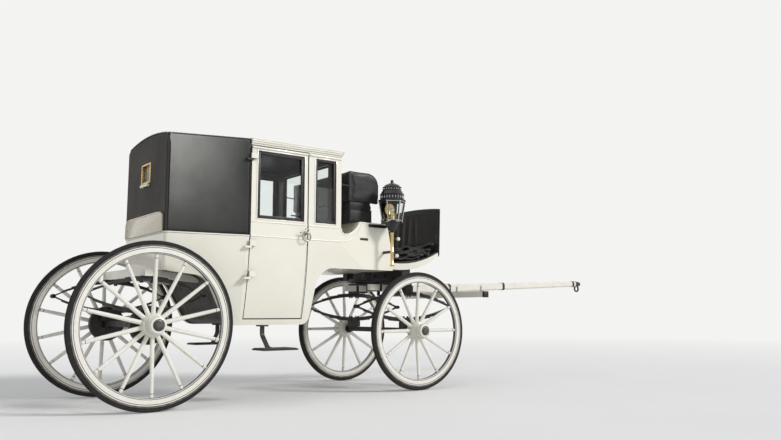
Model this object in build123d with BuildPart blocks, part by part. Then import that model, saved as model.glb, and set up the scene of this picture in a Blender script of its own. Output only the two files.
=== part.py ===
from build123d import *
import os
from math import asin, cos, radians, sin

# A four-wheeled coupe carriage with a leather head, a driving box and a pole.
# Lengths are millimetres. X runs forward to the pole, Y to the left, Z up.
# Side views give X as a distance forward of the rear axle, turned by fx().
# The origin is on the ground, in the middle of the overall length.

# Running gear
rear_wheel_r = 600
front_wheel_r = 525
rear_spokes = 14
front_spokes = 12
wheelbase = 2414
track = 1220
tyre_depth = 40
tyre_half = 19
tread_half = 14
felloe_depth = 56
felloe_half = 22
spoke_foot_r = 17
spoke_tip_r = 13
spoke_sides = 10
dish = 28
hub_r = 84
hub_nose_r = 58
hub_inner = 90
hub_outer = 62
hub_barrel_half = 34
edge_cut = 8
spoke_root = 14
cap_reach = 48
cap_rim = 14
cap_rim_r = 42
cap_nose_r = 34
arm_r = 25
arm_reach = 50
axle_bar = 44
axle_collar_r = 40
axle_collar_gap = 6
axle_collar_width = 16
spring_pad_half = 60
running_gap = 0.3
seat_gap = 0.3
drum_r = 140
drum_width = 50

# Springs
spring_y = 420
spring_width = 50
rear_spring_half = 440
front_spring_half = 550
spring_rise = 105
leaf = 7
leaf_count = 5
leaf_step = 0.17
leaf_overlap = 0.2
eye_r = 17
spring_block = 58
cross_bar = 60
cross_bar_rise = 16
iron_y = 300
iron_width = 44
iron_depth = 46

# Cabin, measured forward from the rear axle
body_rear = 110
door_rear = 757
taper_front = door_rear - 30
door_front = 1280
cabin_front = 1610
half_width = 550
rear_half = 453
knee_half = 522
sill_half = 445
corner_r = 30
corner_depth = 50
wall = 42
sill_z = 590
knee_z = 1000
belt_z = 1280
under_z = 560
under_half = 437
door_sill_z = 640
door_top_z = 2010
rocker_depth = 44
floor_thick = 24
floor_lift = 12
rear_floor_z = 1003
rear_floor_end = 440
rear_floor_fall = 38
foot_well_rear = 640
foot_well_front = door_front + 70
boot_rear = door_front + 125
door_gap = 6
door_bevel = 0.27
hinge_out = 15
hinge_r = 10
hinge_pin_r = 5
hinge_height = 44
hinge_foot = 16
hinge_leaf = 46
hinge_plate = 7
hinge_lug = 20
hinge_heights = (985, 1228, 1925)
window_low = 1430
window_high = 1975
glass_thick = 5

# Leather head and roof
head_corner_rear = 2046
head_corner_front = 2066
crown_rise = 46
shoulder = 36
leather = 28
rear_window_half = 92
rear_window_low = 1712
rear_window_high = 1858
cornice_depth = 20
cornice_out = 20

# Seat in the cabin
bench_front = 640
bench_clear = 12
bench_rise = 58
cushion_thick = 115
squab_thick = 120
squab_top = 1720
seat_edge_r = 30

# Driving box
boot_bottom = 1060
boot_top = 1475
boot_front = wheelbase - 214
boot_front_top = boot_front - 65
boot_front_rise = 110
boot_front_half = 505
swoop_end = cabin_front + 210
swoop_low_z = 1357
swoop_r = 48
toe_half = 450
toe_front = wheelbase + 376
mat_start = 0.15
mat_thick = 8
mat_border = 20
dash_half = 470
dash_foot = 1215
dash_top = 1672
dash_crown = 28
dash_thick = 14
seat_rear = cabin_front + 135
seat_front = seat_rear + 240
seat_half = 480
seat_top = boot_top + 119
box_cushion = 56
cushion_front = 12
back_rear = 15
wing_top = seat_top + 336
wing_front = seat_front + 70
wing_round = 115
wing_thick = 50

# Lamps
lamp_x = boot_front - 110
lamp_y = 640
lamp_sides = 6
lamp_base_r = 86
lamp_top_r = 116
lamp_glass_low = boot_top + 14
lamp_glass_high = lamp_glass_low + 176
lamp_crown_high = lamp_glass_high + 171
lamp_stem_low = lamp_glass_low - 385
lamp_stem_r = 13
lamp_post_r = 5
lamp_arm = 24
lamp_arm_z = boot_top - 28
lamp_arm_rear = lamp_x - 175
lamp_clip_z = boot_top - 270

# Steps under the doors
step_x = 945
step_half = 150
step_z = 400
step_inner = 550
step_outer = 745
step_stem = (34, 14)
step_flange = (90, 40)
step_thick = 12

# Fore carriage and pole
ring_r = 300
ring_width = 44
ring_thick = 15
ring_block_y = 150
ring_block_half = 35
ring_block_gap = 8
transom_flange = 12
transom_rise = 60
bolster_half = 470
bolster_width = 70
bolster_top = 975
toe_stay_x = 138
toe_stay_y = 250
toe_stay = 26
toe_stay_rise = 80
kingpin_r = 16
kingpin_reach = 30
futchell_rear = wheelbase - 264
futchell_rear_y = 230
futchell_front_y = 78
futchell_width = 45
futchell_depth = 55
heel_thick = 20
heel_length = 50
heel_inset = 12
pole_rear = wheelbase + 286
pole_tip = pole_rear + 2650
pole_rise = 0.043
pole_z_at_axle = 899
pole_rear_size = 92
pole_tip_size = 62
pole_head_length = 90
pole_cut = 14
cap_over_pole = 6
cap_taper = 8
ring_back = 40
ring_eye_r = 26
ring_bar = 14
splinter_x = wheelbase + 821
splinter_half = 640
splinter_size = 58
roller_r = 17
roller_height = 52
roller_end = 60
roller_inner_y = 230
bar_round = 12

rear_axle_x = -(pole_tip + pole_head_length - rear_wheel_r) / 2


def fx(x):
    """Turns a distance forward of the rear axle into a model X."""
    return rear_axle_x + x


front_axle_x = fx(wheelbase)
door_top_gap = door_top_z + door_gap
head_slope = (head_corner_front - head_corner_rear) / (door_rear - body_rear)
os.makedirs("parts", exist_ok=True)


def save(piece, label):
    """Names a finished piece and writes its file."""
    piece.label = label
    export_step(piece, f"parts/{label}.step")


def save_pair(piece, label):
    """Writes a right-hand piece and its mirror image on the left."""
    save(piece, label + "_right")
    with BuildPart() as other:
        mirror(piece, about=Plane.XZ)
    save(other.part, label + "_left")


def block(xs, ys, zs, mode=Mode.ADD):
    """A square block between three pairs of limits."""
    spans = (xs, ys, zs)
    with Locations(tuple((low + high) / 2 for low, high in spans)):
        Box(*(high - low for low, high in spans), mode=mode)


def side_slab(points, y0, y1, mode=Mode.ADD):
    """A side outline, given forward of the rear axle, between two values of Y."""
    with BuildSketch(Plane.XZ.offset(-y1)) as outline:
        with BuildLine():
            Polyline(*((fx(x), z) for x, z in points), close=True)
        make_face()
    extrude(outline.sketch, amount=y1 - y0, mode=mode)


def half_at(x):
    """Half the cabin's width above the belt, narrowed to the back behind the doors."""
    behind = max(taper_front - x, 0) / (taper_front - body_rear)
    return half_width - behind * (half_width - rear_half)


def side_points(inset, x):
    """Points of the right side's turn-under, from just below the sill to the belt."""
    shift = half_width - half_at(x) + inset
    return (
        (shift - under_half, under_z),
        (shift - knee_half, knee_z),
        (shift - half_width, belt_z),
    )


def fill_between(section, x0, x1):
    """A form that follows a section along the cabin, tapered behind the doors only."""
    if x0 < taper_front:
        narrow_end = min(x1, taper_front)
        loft([section(x0), section(narrow_end)], ruled=True)
    if x1 > taper_front:
        start = max(x0, taper_front)
        loft([section(start), section(x1)], ruled=True)


def cabin_block(inset, x0, x1, low_z, top):
    """The space between both sides, with its turn-under, between two heights."""

    def section(x):
        low, knee, belt = side_points(inset, x)
        over = belt_z + top
        with BuildSketch(Plane.YZ.offset(fx(x))) as outline:
            with BuildLine():
                ThreePointArc(low, knee, belt)
                Polyline(belt, (belt[0], over), (-belt[0], over), (-belt[0], belt_z))
                ThreePointArc((-belt[0], belt_z), (-knee[0], knee_z), (-low[0], under_z))
                Line((-low[0], under_z), low)
            make_face()
        return outline.sketch

    with BuildPart() as space:
        fill_between(section, x0, x1)
        block((fx(x0), fx(x1)), (-half_width, half_width), (low_z, top), Mode.INTERSECT)
    return space.part


# Right side wall, all in one, from which the side panels and the door are cut
def wall_section(x):
    """Section of the right side wall at one place along the cabin."""
    outer, inner = side_points(0, x), side_points(wall, x)
    with BuildSketch(Plane.YZ.offset(fx(x))) as outline:
        with BuildLine():
            ThreePointArc(*outer)
            Polyline(outer[2], (outer[2][0], door_top_gap), (inner[2][0], door_top_gap), inner[2])
            ThreePointArc(*reversed(inner))
            Line(inner[0], outer[0])
        make_face()
    return outline.sketch


with BuildPart() as side_wall:
    fill_between(wall_section, body_rear, cabin_front)

# A door and its opening share one outline, swept inwards on the bevel of the shut edges
turn_shift = door_bevel * (half_width - sill_half)
start_shift = door_bevel * wall


def door_prism(grow, top):
    """Door outline, grown by a gap, swept inwards from outside the right wall."""
    rear, front = fx(door_rear - grow) + start_shift, fx(door_front + grow) + start_shift
    with BuildPart() as prism:
        with BuildSketch(Plane.XZ.offset(half_width + wall)):
            with BuildLine():
                Polyline(
                    (rear, top),
                    (front, top),
                    (front, belt_z),
                    (front + turn_shift, door_sill_z - grow),
                    (rear + turn_shift, door_sill_z - grow),
                    (rear, belt_z),
                    close=True,
                )
            make_face()
        extrude(amount=5 * wall, dir=(-door_bevel, 1, 0))
    return prism.part


doorway = door_prism(door_gap, door_top_z + 3 * crown_rise)

# Underside of the body in side view: rear floor, foot well, then up to the boot
underside = (
    (body_rear, rear_floor_z),
    (rear_floor_end, rear_floor_z - rear_floor_fall),
    (foot_well_rear, sill_z),
    (foot_well_front, sill_z),
    (boot_rear, boot_bottom),
    (cabin_front, boot_bottom),
)
underside_radii = (170, 110, 70, 170)


def above_underside(lift):
    """All that lies above the body's underside in side view, moved up by a lift."""
    with BuildPart() as form:
        with BuildSketch(Plane.XZ.offset(-half_width)):
            with BuildLine():
                curve = FilletPolyline(*((fx(x), z) for x, z in underside), radius=underside_radii)
                Polyline(
                    curve @ 1,
                    (fx(boot_front), boot_bottom),
                    (fx(boot_front), 2 * door_top_z),
                    (fx(0), 2 * door_top_z),
                    (fx(0), rear_floor_z),
                    curve @ 0,
                )
            make_face()
            if lift:
                offset(amount=-lift, kind=Kind.INTERSECTION)
        extrude(amount=2 * half_width)
    return form.part


panel_form = above_underside(rocker_depth)
quarter_start = body_rear + corner_depth

with BuildPart() as rockers:
    add(side_wall.part)
    add(above_underside(0), mode=Mode.INTERSECT)
    add(panel_form, mode=Mode.SUBTRACT)
    block((fx(0), fx(quarter_start)), (-half_width, 0), (0, belt_z), Mode.SUBTRACT)
    mirror(about=Plane.XZ)
save(rockers.part, "rockers")

# Lower quarter panels, between the back corners and the doors
with BuildPart() as quarter_panels:
    add(side_wall.part)
    add(panel_form, mode=Mode.INTERSECT)
    block((fx(quarter_start), fx(door_rear + wall)), (-half_width, 0), (0, belt_z), Mode.INTERSECT)
    add(doorway, mode=Mode.SUBTRACT)
    mirror(about=Plane.XZ)
save(quarter_panels.part, "quarter_panels")

# Panels in front of the doors, each with its window
quarter_window = (1352, 1556)
with BuildPart() as front_quarters:
    add(side_wall.part)
    add(panel_form, mode=Mode.INTERSECT)
    block((fx(door_rear + wall), fx(cabin_front)), (-half_width, 0), (0, door_top_gap), Mode.INTERSECT)
    add(doorway, mode=Mode.SUBTRACT)
    block(
        (fx(quarter_window[0]), fx(quarter_window[1])),
        (-half_width - 1, 0),
        (window_low, window_high),
        Mode.SUBTRACT,
    )
    mirror(about=Plane.XZ)
save(front_quarters.part, "front_quarters")


def back_form(inset):
    """The lower body's rear end, rounded at its outer corners, moved inwards."""
    with BuildPart() as form:
        add(cabin_block(inset, body_rear + inset, quarter_start + wall, rear_floor_z, belt_z))
        if not inset:
            rear_edges = form.edges().filter_by_position(Axis.X, fx(body_rear) - 1, fx(body_rear) + 1)
            across = rear_edges.sort_by(Axis.Y)
            fillet([across[0], across[-1]], radius=corner_r)
        block(
            (fx(quarter_start), fx(quarter_start + wall)),
            (-half_width, half_width),
            (rear_floor_z, belt_z),
            Mode.SUBTRACT,
        )
    return form.part


with BuildPart() as back_panel:
    add(back_form(0))
    add(back_form(wall), mode=Mode.SUBTRACT)
save(back_panel.part, "back_panel")


# Leather head: a crowned section run forward on a slight rise, rounded along the back
def head_form(inset, x0, x1, low_z):
    """Outer or inner form of the head, from the belt to the crown."""

    def section(x):
        half = half_at(x) - inset
        corner_z = head_corner_rear + (x - body_rear) * head_slope - inset
        with BuildSketch(Plane.YZ.offset(fx(x))) as outline:
            with BuildLine():
                Polyline((-half, corner_z), (-half, low_z), (half, low_z), (half, corner_z))
                ThreePointArc((half, corner_z), (0, corner_z + crown_rise), (-half, corner_z))
            make_face()
            fillet(outline.vertices().group_by(Axis.Z)[-1], radius=shoulder - inset)
        return outline.sketch

    with BuildPart() as form:
        fill_between(section, x0, x1)
        if not inset:
            rear_edges = form.edges().filter_by_position(Axis.X, fx(x0) - 0.1, fx(x0) + 0.1)
            fillet(rear_edges.sort_by(Axis.Z)[1:], radius=corner_r)
    return form.part


head_front = door_rear - door_gap
with BuildPart() as leather_head:
    add(head_form(0, body_rear, head_front, belt_z))
    add(head_form(leather, body_rear + leather, head_front + 1, belt_z - 1), mode=Mode.SUBTRACT)
    add(doorway, mode=Mode.SUBTRACT)
    add(doorway.mirror(Plane.XZ), mode=Mode.SUBTRACT)
    block(
        (fx(body_rear) - 1, fx(body_rear + leather) + 1),
        (-rear_window_half, rear_window_half),
        (rear_window_low, rear_window_high),
        Mode.SUBTRACT,
    )
save(leather_head.part, "leather_head")


# Roof over the doors: a crowned lid with a header all round, open to the head
def roof_form(inset, x0, x1, low_z):
    """Outer or inner form of the roof."""
    half = half_width - inset
    with BuildPart() as form:
        with BuildSketch(Plane.YZ.offset(fx(x0))):
            with BuildLine():
                corner_z = head_corner_front - inset
                Polyline((-half, corner_z), (-half, low_z), (half, low_z), (half, corner_z))
                ThreePointArc((half, corner_z), (0, corner_z + crown_rise), (-half, corner_z))
            make_face()
        extrude(amount=x1 - x0)
    return form.part


with BuildPart() as roof:
    add(roof_form(0, head_front, cabin_front, door_top_gap))
    add(roof_form(wall, head_front - 1, cabin_front - wall, door_top_gap - 1), mode=Mode.SUBTRACT)
save(roof.part, "roof")

# Cornice round the roof
cornice_z = head_corner_front - cornice_depth
with BuildPart() as cornice:
    block(
        (fx(head_front), fx(cabin_front + cornice_out)),
        (-half_width - cornice_out, half_width + cornice_out),
        (cornice_z, head_corner_front),
    )
    fillet(cornice.edges().filter_by(Axis.Z).group_by(Axis.X)[-1], radius=cornice_out)
    block(
        (fx(head_front) - 1, fx(cabin_front)),
        (-half_width, half_width),
        (cornice_z - 1, head_corner_front + 1),
        Mode.SUBTRACT,
    )
save(cornice.part, "cornice")

# Floor: one bent plate between the sides
with BuildPart() as floor:
    add(cabin_block(wall + seat_gap, body_rear + wall, cabin_front, sill_z, belt_z))
    add(above_underside(floor_lift), mode=Mode.INTERSECT)
    add(above_underside(floor_lift + floor_thick), mode=Mode.SUBTRACT)
    block((fx(0), fx(quarter_start)), (-half_width, half_width), (0, belt_z), Mode.SUBTRACT)
save(floor.part, "floor")

# Front wall with its window
front_floor_z = boot_bottom + floor_lift + floor_thick
front_window_half = 400
with BuildPart() as front_wall:
    add(cabin_block(wall + seat_gap, cabin_front - wall, cabin_front, front_floor_z, door_top_gap))
    block(
        (fx(cabin_front - wall) - 1, fx(cabin_front) + 1),
        (-front_window_half, front_window_half),
        (boot_top, window_high),
        Mode.SUBTRACT,
    )
save(front_wall.part, "front_wall")

# Fixed glass: rear window, front window and both quarter windows
glass_y = half_width - wall / 2
with BuildPart() as fixed_glass:
    block(
        (fx(body_rear + leather / 2), fx(body_rear + leather / 2 + glass_thick)),
        (-rear_window_half, rear_window_half),
        (rear_window_low, rear_window_high),
    )
    block(
        (fx(cabin_front - wall / 2), fx(cabin_front - wall / 2 + glass_thick)),
        (-front_window_half, front_window_half),
        (boot_top, window_high),
    )
    for side in (-1, 1):
        block(
            (fx(quarter_window[0]), fx(quarter_window[1])),
            sorted((side * glass_y, side * (glass_y - glass_thick))),
            (window_low, window_high),
        )
save(fixed_glass.part, "fixed_glass")

# Bench, cushion and squab in the cabin
bench_rear = quarter_start
bench_low = rear_floor_z + floor_lift + floor_thick
bench_top = bench_low + bench_rise
squab_half = rear_half - wall - bench_clear
with BuildPart() as bench:
    add(cabin_block(wall + bench_clear, bench_rear, bench_front, rear_floor_z - rear_floor_fall, bench_top))
    add(above_underside(floor_lift + floor_thick), mode=Mode.INTERSECT)
save(bench.part, "bench")

with BuildPart() as seat_cushion:
    add(
        cabin_block(
            wall + bench_clear,
            bench_rear,
            bench_front,
            bench_top + seat_gap,
            bench_top + cushion_thick,
        )
    )
    fillet(seat_cushion.edges().group_by(Axis.Z)[-1], radius=seat_edge_r)
save(seat_cushion.part, "seat_cushion")

with BuildPart() as seat_squab:
    block(
        (fx(bench_rear), fx(bench_rear + squab_thick)),
        (-squab_half, squab_half),
        (bench_top + cushion_thick + seat_gap, squab_top),
    )
    fillet(seat_squab.edges().group_by(Axis.X)[-1], radius=seat_edge_r)
save(seat_squab.part, "seat_squab")

# Boot under the driving seat: side outline, narrowed forwards and turned under
with BuildPart() as boot:
    with BuildSketch(Plane.XZ):
        with BuildLine():
            Polyline(
                (fx(cabin_front), boot_bottom),
                (fx(boot_front), boot_bottom),
                (fx(boot_front), boot_bottom + boot_front_rise),
                (fx(boot_front_top), boot_top),
                (fx(swoop_end), boot_top),
            )
            swoop_low = (fx(cabin_front + swoop_r), swoop_low_z)
            TangentArc(swoop_low, (fx(swoop_end), boot_top), tangent=(1, 0))
            TangentArc(swoop_low, (fx(cabin_front), swoop_low_z + swoop_r), tangent=(-1, 0))
            Line((fx(cabin_front), swoop_low_z + swoop_r), (fx(cabin_front), boot_bottom))
        make_face()
    extrude(amount=half_width, both=True)
    with BuildSketch(Plane.XY):
        with BuildLine():
            Polyline(
                (fx(cabin_front), -half_width),
                (fx(boot_front), -boot_front_half),
                (fx(boot_front), boot_front_half),
                (fx(cabin_front), half_width),
                close=True,
            )
        make_face()
    extrude(amount=2 * boot_top, mode=Mode.INTERSECT)
    add(cabin_block(0, cabin_front, boot_front, sill_z, 2 * belt_z), mode=Mode.INTERSECT)
save(boot.part, "boot")

# Toe board in side view: share of its length, then underside and top over the boot's bottom
toe_curve = (
    (0, 23, 80),
    (0.55, 41, 96),
    (1, 162, 196),
)


def toe_arc(column, lift):
    """Three points along the toe board's underside or top, moved up by a lift."""
    return [
        (fx(boot_front + row[0] * (toe_front - boot_front)), boot_bottom + row[column] + lift)
        for row in toe_curve
    ]


def toe_band(low, high, half):
    """A curved board between two of the toe board's arcs."""
    with BuildPart() as band:
        with BuildSketch(Plane.XZ.offset(-half)):
            with BuildLine():
                ThreePointArc(*low)
                Line(low[2], high[2])
                ThreePointArc(*reversed(high))
                Line(high[0], low[0])
            make_face()
        extrude(amount=2 * half)
    return band.part


toe_board = toe_band(toe_arc(1, 0), toe_arc(2, 0), toe_half)
save(toe_board, "toe_board")

mat_half = toe_half - mat_border
with BuildPart() as toe_mat:
    add(toe_band(toe_arc(2, 0), toe_arc(2, mat_thick), mat_half))
    block(
        (fx(boot_front), fx(boot_front + mat_start * (toe_front - boot_front))),
        (-mat_half, mat_half),
        (boot_bottom, boot_top),
        Mode.SUBTRACT,
    )
save(toe_mat.part, "toe_mat")

with BuildPart() as dash:
    with BuildSketch(Plane.YZ.offset(fx(toe_front))):
        with BuildLine():
            Polyline((-dash_half, dash_top), (-toe_half, dash_foot), (toe_half, dash_foot), (dash_half, dash_top))
            ThreePointArc((dash_half, dash_top), (0, dash_top + dash_crown), (-dash_half, dash_top))
        make_face()
    extrude(amount=dash_thick)
save(dash.part, "dash")

# Driving seat: its box, cushion, and the padded back with its wings
with BuildPart() as box_seat:
    block((fx(seat_rear), fx(seat_front)), (-seat_half, seat_half), (boot_top, seat_top))
save(box_seat.part, "box_seat")

cushion_low = seat_top + seat_gap
with BuildPart() as driving_cushion:
    block(
        (fx(seat_rear), fx(seat_front + cushion_front)),
        (-seat_half, seat_half),
        (cushion_low, cushion_low + box_cushion),
    )
    fillet(driving_cushion.edges().group_by(Axis.Z)[-1], radius=25)
save(driving_cushion.part, "driving_cushion")

back_low = cushion_low + box_cushion + seat_gap
back_half = seat_half + 10
with BuildPart() as driving_back:
    block((fx(seat_rear - back_rear), fx(wing_front)), (-back_half, back_half), (back_low, wing_top))
    fillet(driving_back.edges().filter_by(Axis.Y).sort_by(Axis.X)[-2:].sort_by(Axis.Z)[-1:], radius=wing_round)
    block(
        (fx(seat_rear - back_rear + wing_thick), fx(wing_front)),
        (wing_thick - back_half, back_half - wing_thick),
        (back_low, wing_top),
        Mode.SUBTRACT,
    )
save(driving_back.part, "driving_back")

# Lamps on brackets at the boot's sides
lamp_axis = Axis((fx(lamp_x), -lamp_y, 0), (0, 0, 1))
lamp_wall = boot_front_half + (half_width - boot_front_half) * (boot_front - lamp_x) / (
    boot_front - cabin_front
)
lamp_profile_low = (
    (0, lamp_stem_low - 12),
    (lamp_stem_r + 4, lamp_stem_low),
    (lamp_stem_r, lamp_stem_low + 12),
    (lamp_stem_r, lamp_glass_low - 105),
    (38, lamp_glass_low - 78),
    (44, lamp_glass_low - 50),
    (74, lamp_glass_low - 14),
    (lamp_base_r + 4, lamp_glass_low - 8),
    (lamp_base_r + 4, lamp_glass_low),
    (0, lamp_glass_low),
)
lamp_profile_high = (
    (0, lamp_glass_high),
    (lamp_top_r + 6, lamp_glass_high),
    (lamp_top_r + 6, lamp_glass_high + 10),
    (102, lamp_glass_high + 16),
    (102, lamp_glass_high + 52),
    (108, lamp_glass_high + 58),
    (88, lamp_glass_high + 94),
    (80, lamp_glass_high + 100),
    (78, lamp_glass_high + 118),
    (84, lamp_glass_high + 124),
    (64, lamp_glass_high + 146),
    (30, lamp_glass_high + 162),
    (12, lamp_crown_high),
    (14, lamp_crown_high + 18),
    (0, lamp_crown_high + 26),
)


def lamp_point(radius, turn, z):
    """A point round a lamp's upright axis."""
    return Vector(fx(lamp_x) + radius * cos(radians(turn)), -lamp_y + radius * sin(radians(turn)), z)


with BuildPart() as lamp_frames:
    for profile in (lamp_profile_low, lamp_profile_high):
        with BuildSketch(Plane((fx(lamp_x), -lamp_y, 0), x_dir=(1, 0, 0), z_dir=(0, -1, 0))):
            with BuildLine():
                Polyline(*profile, close=True)
            make_face()
        revolve(axis=lamp_axis)
    for side in range(lamp_sides):
        turn = 360 * (side + 0.5) / lamp_sides
        foot = lamp_point(lamp_base_r - lamp_post_r, turn, lamp_glass_low - 2)
        head = lamp_point(lamp_top_r - lamp_post_r, turn, lamp_glass_high + 2)
        with BuildSketch(Plane(foot, z_dir=head - foot)):
            Rectangle(2 * lamp_post_r, 2 * lamp_post_r, rotation=turn)
        extrude(amount=(head - foot).length)
    arm_zs = (lamp_arm_z - lamp_arm / 2, lamp_arm_z + lamp_arm / 2)
    block((fx(lamp_x) - lamp_arm / 2, fx(lamp_x) + lamp_arm / 2), (-lamp_y, wall - lamp_wall), arm_zs)
    block((fx(lamp_arm_rear), fx(lamp_x)), (-lamp_wall - lamp_arm, wall - lamp_wall), arm_zs)
    block(
        (fx(lamp_x) - lamp_arm / 4, fx(lamp_x) + lamp_arm / 4),
        (-lamp_y, wall - lamp_wall),
        (lamp_clip_z, lamp_clip_z + lamp_arm),
    )
    add(boot.part, mode=Mode.SUBTRACT)
    mirror(about=Plane.XZ)
save(lamp_frames.part, "lamp_frames")

lamp_pane_in = 2 * lamp_post_r + 1
with BuildPart() as lamp_glass:
    for shrink, mode in ((0, Mode.ADD), (4, Mode.SUBTRACT)):
        with BuildSketch(Plane((fx(lamp_x), -lamp_y, lamp_glass_low))):
            RegularPolygon(lamp_base_r - lamp_pane_in - shrink, lamp_sides, rotation=180 / lamp_sides)
        with BuildSketch(Plane((fx(lamp_x), -lamp_y, lamp_glass_high))):
            RegularPolygon(lamp_top_r - lamp_pane_in - shrink, lamp_sides, rotation=180 / lamp_sides)
        loft(mode=mode)
    mirror(about=Plane.XZ)
save(lamp_glass.part, "lamp_glass")

# Steps: a stem bent out from under the rocker, and a tread
step_foot = sill_half - wall / 2
with BuildPart() as steps:
    with BuildLine(Plane.YZ.offset(fx(step_x))) as stem:
        FilletPolyline(
            (-step_foot, sill_z),
            (-step_foot, step_z + 110),
            (-step_inner + 30, step_z + 15),
            (-step_inner - 60, step_z + 6),
            radius=45,
        )
    with BuildSketch(Plane(stem.line @ 0, x_dir=(1, 0, 0), z_dir=stem.line % 0)):
        Rectangle(*step_stem)
    sweep(path=stem.line)
    block(
        (fx(step_x) - step_flange[0] / 2, fx(step_x) + step_flange[0] / 2),
        (-step_foot - step_flange[1] / 2, -step_foot + step_flange[1] / 2),
        (sill_z - step_thick, sill_z),
    )
    block(
        (fx(step_x) - step_half, fx(step_x) + step_half),
        (-step_outer, -step_inner),
        (step_z, step_z + step_thick),
    )
    mirror(about=Plane.XZ)
save(steps.part, "steps")

# Doors, hung at the rear on pins that stand on the body
door_window = (815, 1243)
hinge_x = door_rear - door_gap / 2
hinge_y = -half_width - hinge_out
with BuildPart() as door:
    for z in hinge_heights:
        with Locations((fx(hinge_x), hinge_y, z)):
            Cylinder(hinge_r, hinge_height)
        block(
            (fx(hinge_x), fx(hinge_x + hinge_leaf)),
            (hinge_y - hinge_r, hinge_y - hinge_r + hinge_plate),
            (z - hinge_height / 2, z + hinge_height / 2),
        )
        block(
            (fx(hinge_x + hinge_lug), fx(hinge_x + hinge_leaf)),
            (hinge_y - hinge_r, wall - half_width),
            (z - hinge_height / 2, z + hinge_height / 2),
        )
    add(side_wall.part.intersect(door_prism(0, door_top_z)))
    block(
        (fx(door_window[0]), fx(door_window[1])),
        (-half_width - 1, 0),
        (window_low, window_high),
        Mode.SUBTRACT,
    )
    with Locations((fx(hinge_x), hinge_y, belt_z)):
        Cylinder(hinge_pin_r + running_gap, 2 * belt_z, mode=Mode.SUBTRACT)
save_pair(door.part, "door")

with BuildPart() as hinge_pins:
    for z in hinge_heights:
        low = z - hinge_height / 2 - running_gap
        with Locations((fx(hinge_x), hinge_y, low - hinge_foot)):
            Cylinder(
                hinge_pin_r, hinge_height + hinge_foot, align=(Align.CENTER, Align.CENTER, Align.MIN)
            )
            Cylinder(hinge_r, hinge_foot, align=(Align.CENTER, Align.CENTER, Align.MIN))
        block(
            (fx(hinge_x - hinge_leaf), fx(hinge_x)),
            (hinge_y - hinge_r, hinge_y - hinge_r + hinge_plate),
            (low - hinge_foot, low),
        )
        block(
            (fx(hinge_x - hinge_leaf), fx(hinge_x - hinge_lug)),
            (hinge_y - hinge_r, wall - half_width),
            (low - hinge_foot, low),
        )
    add(side_wall.part, mode=Mode.SUBTRACT)
    mirror(about=Plane.XZ)
save(hinge_pins.part, "hinge_pins")

with BuildPart() as door_glass:
    block(
        (fx(door_window[0]), fx(door_window[1])),
        (-glass_y, glass_thick - glass_y),
        (window_low, window_high),
    )
save_pair(door_glass.part, "door_glass")

handle_x = door_front - 26
handle_z = 1335
with BuildPart() as door_handle:
    with BuildSketch(Plane.XZ.offset(half_width)):
        with Locations((fx(handle_x), handle_z)):
            Circle(17)
    extrude(amount=6)
    with BuildSketch(Plane.XZ.offset(half_width + 6)):
        with Locations((fx(handle_x), handle_z)):
            Circle(8)
    extrude(amount=26)
    with BuildSketch(Plane.XZ.offset(half_width + 26)):
        with Locations((fx(handle_x - 25), handle_z)):
            SlotOverall(84, 17)
    extrude(amount=12)
save_pair(door_handle.part, "door_handle")

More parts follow.
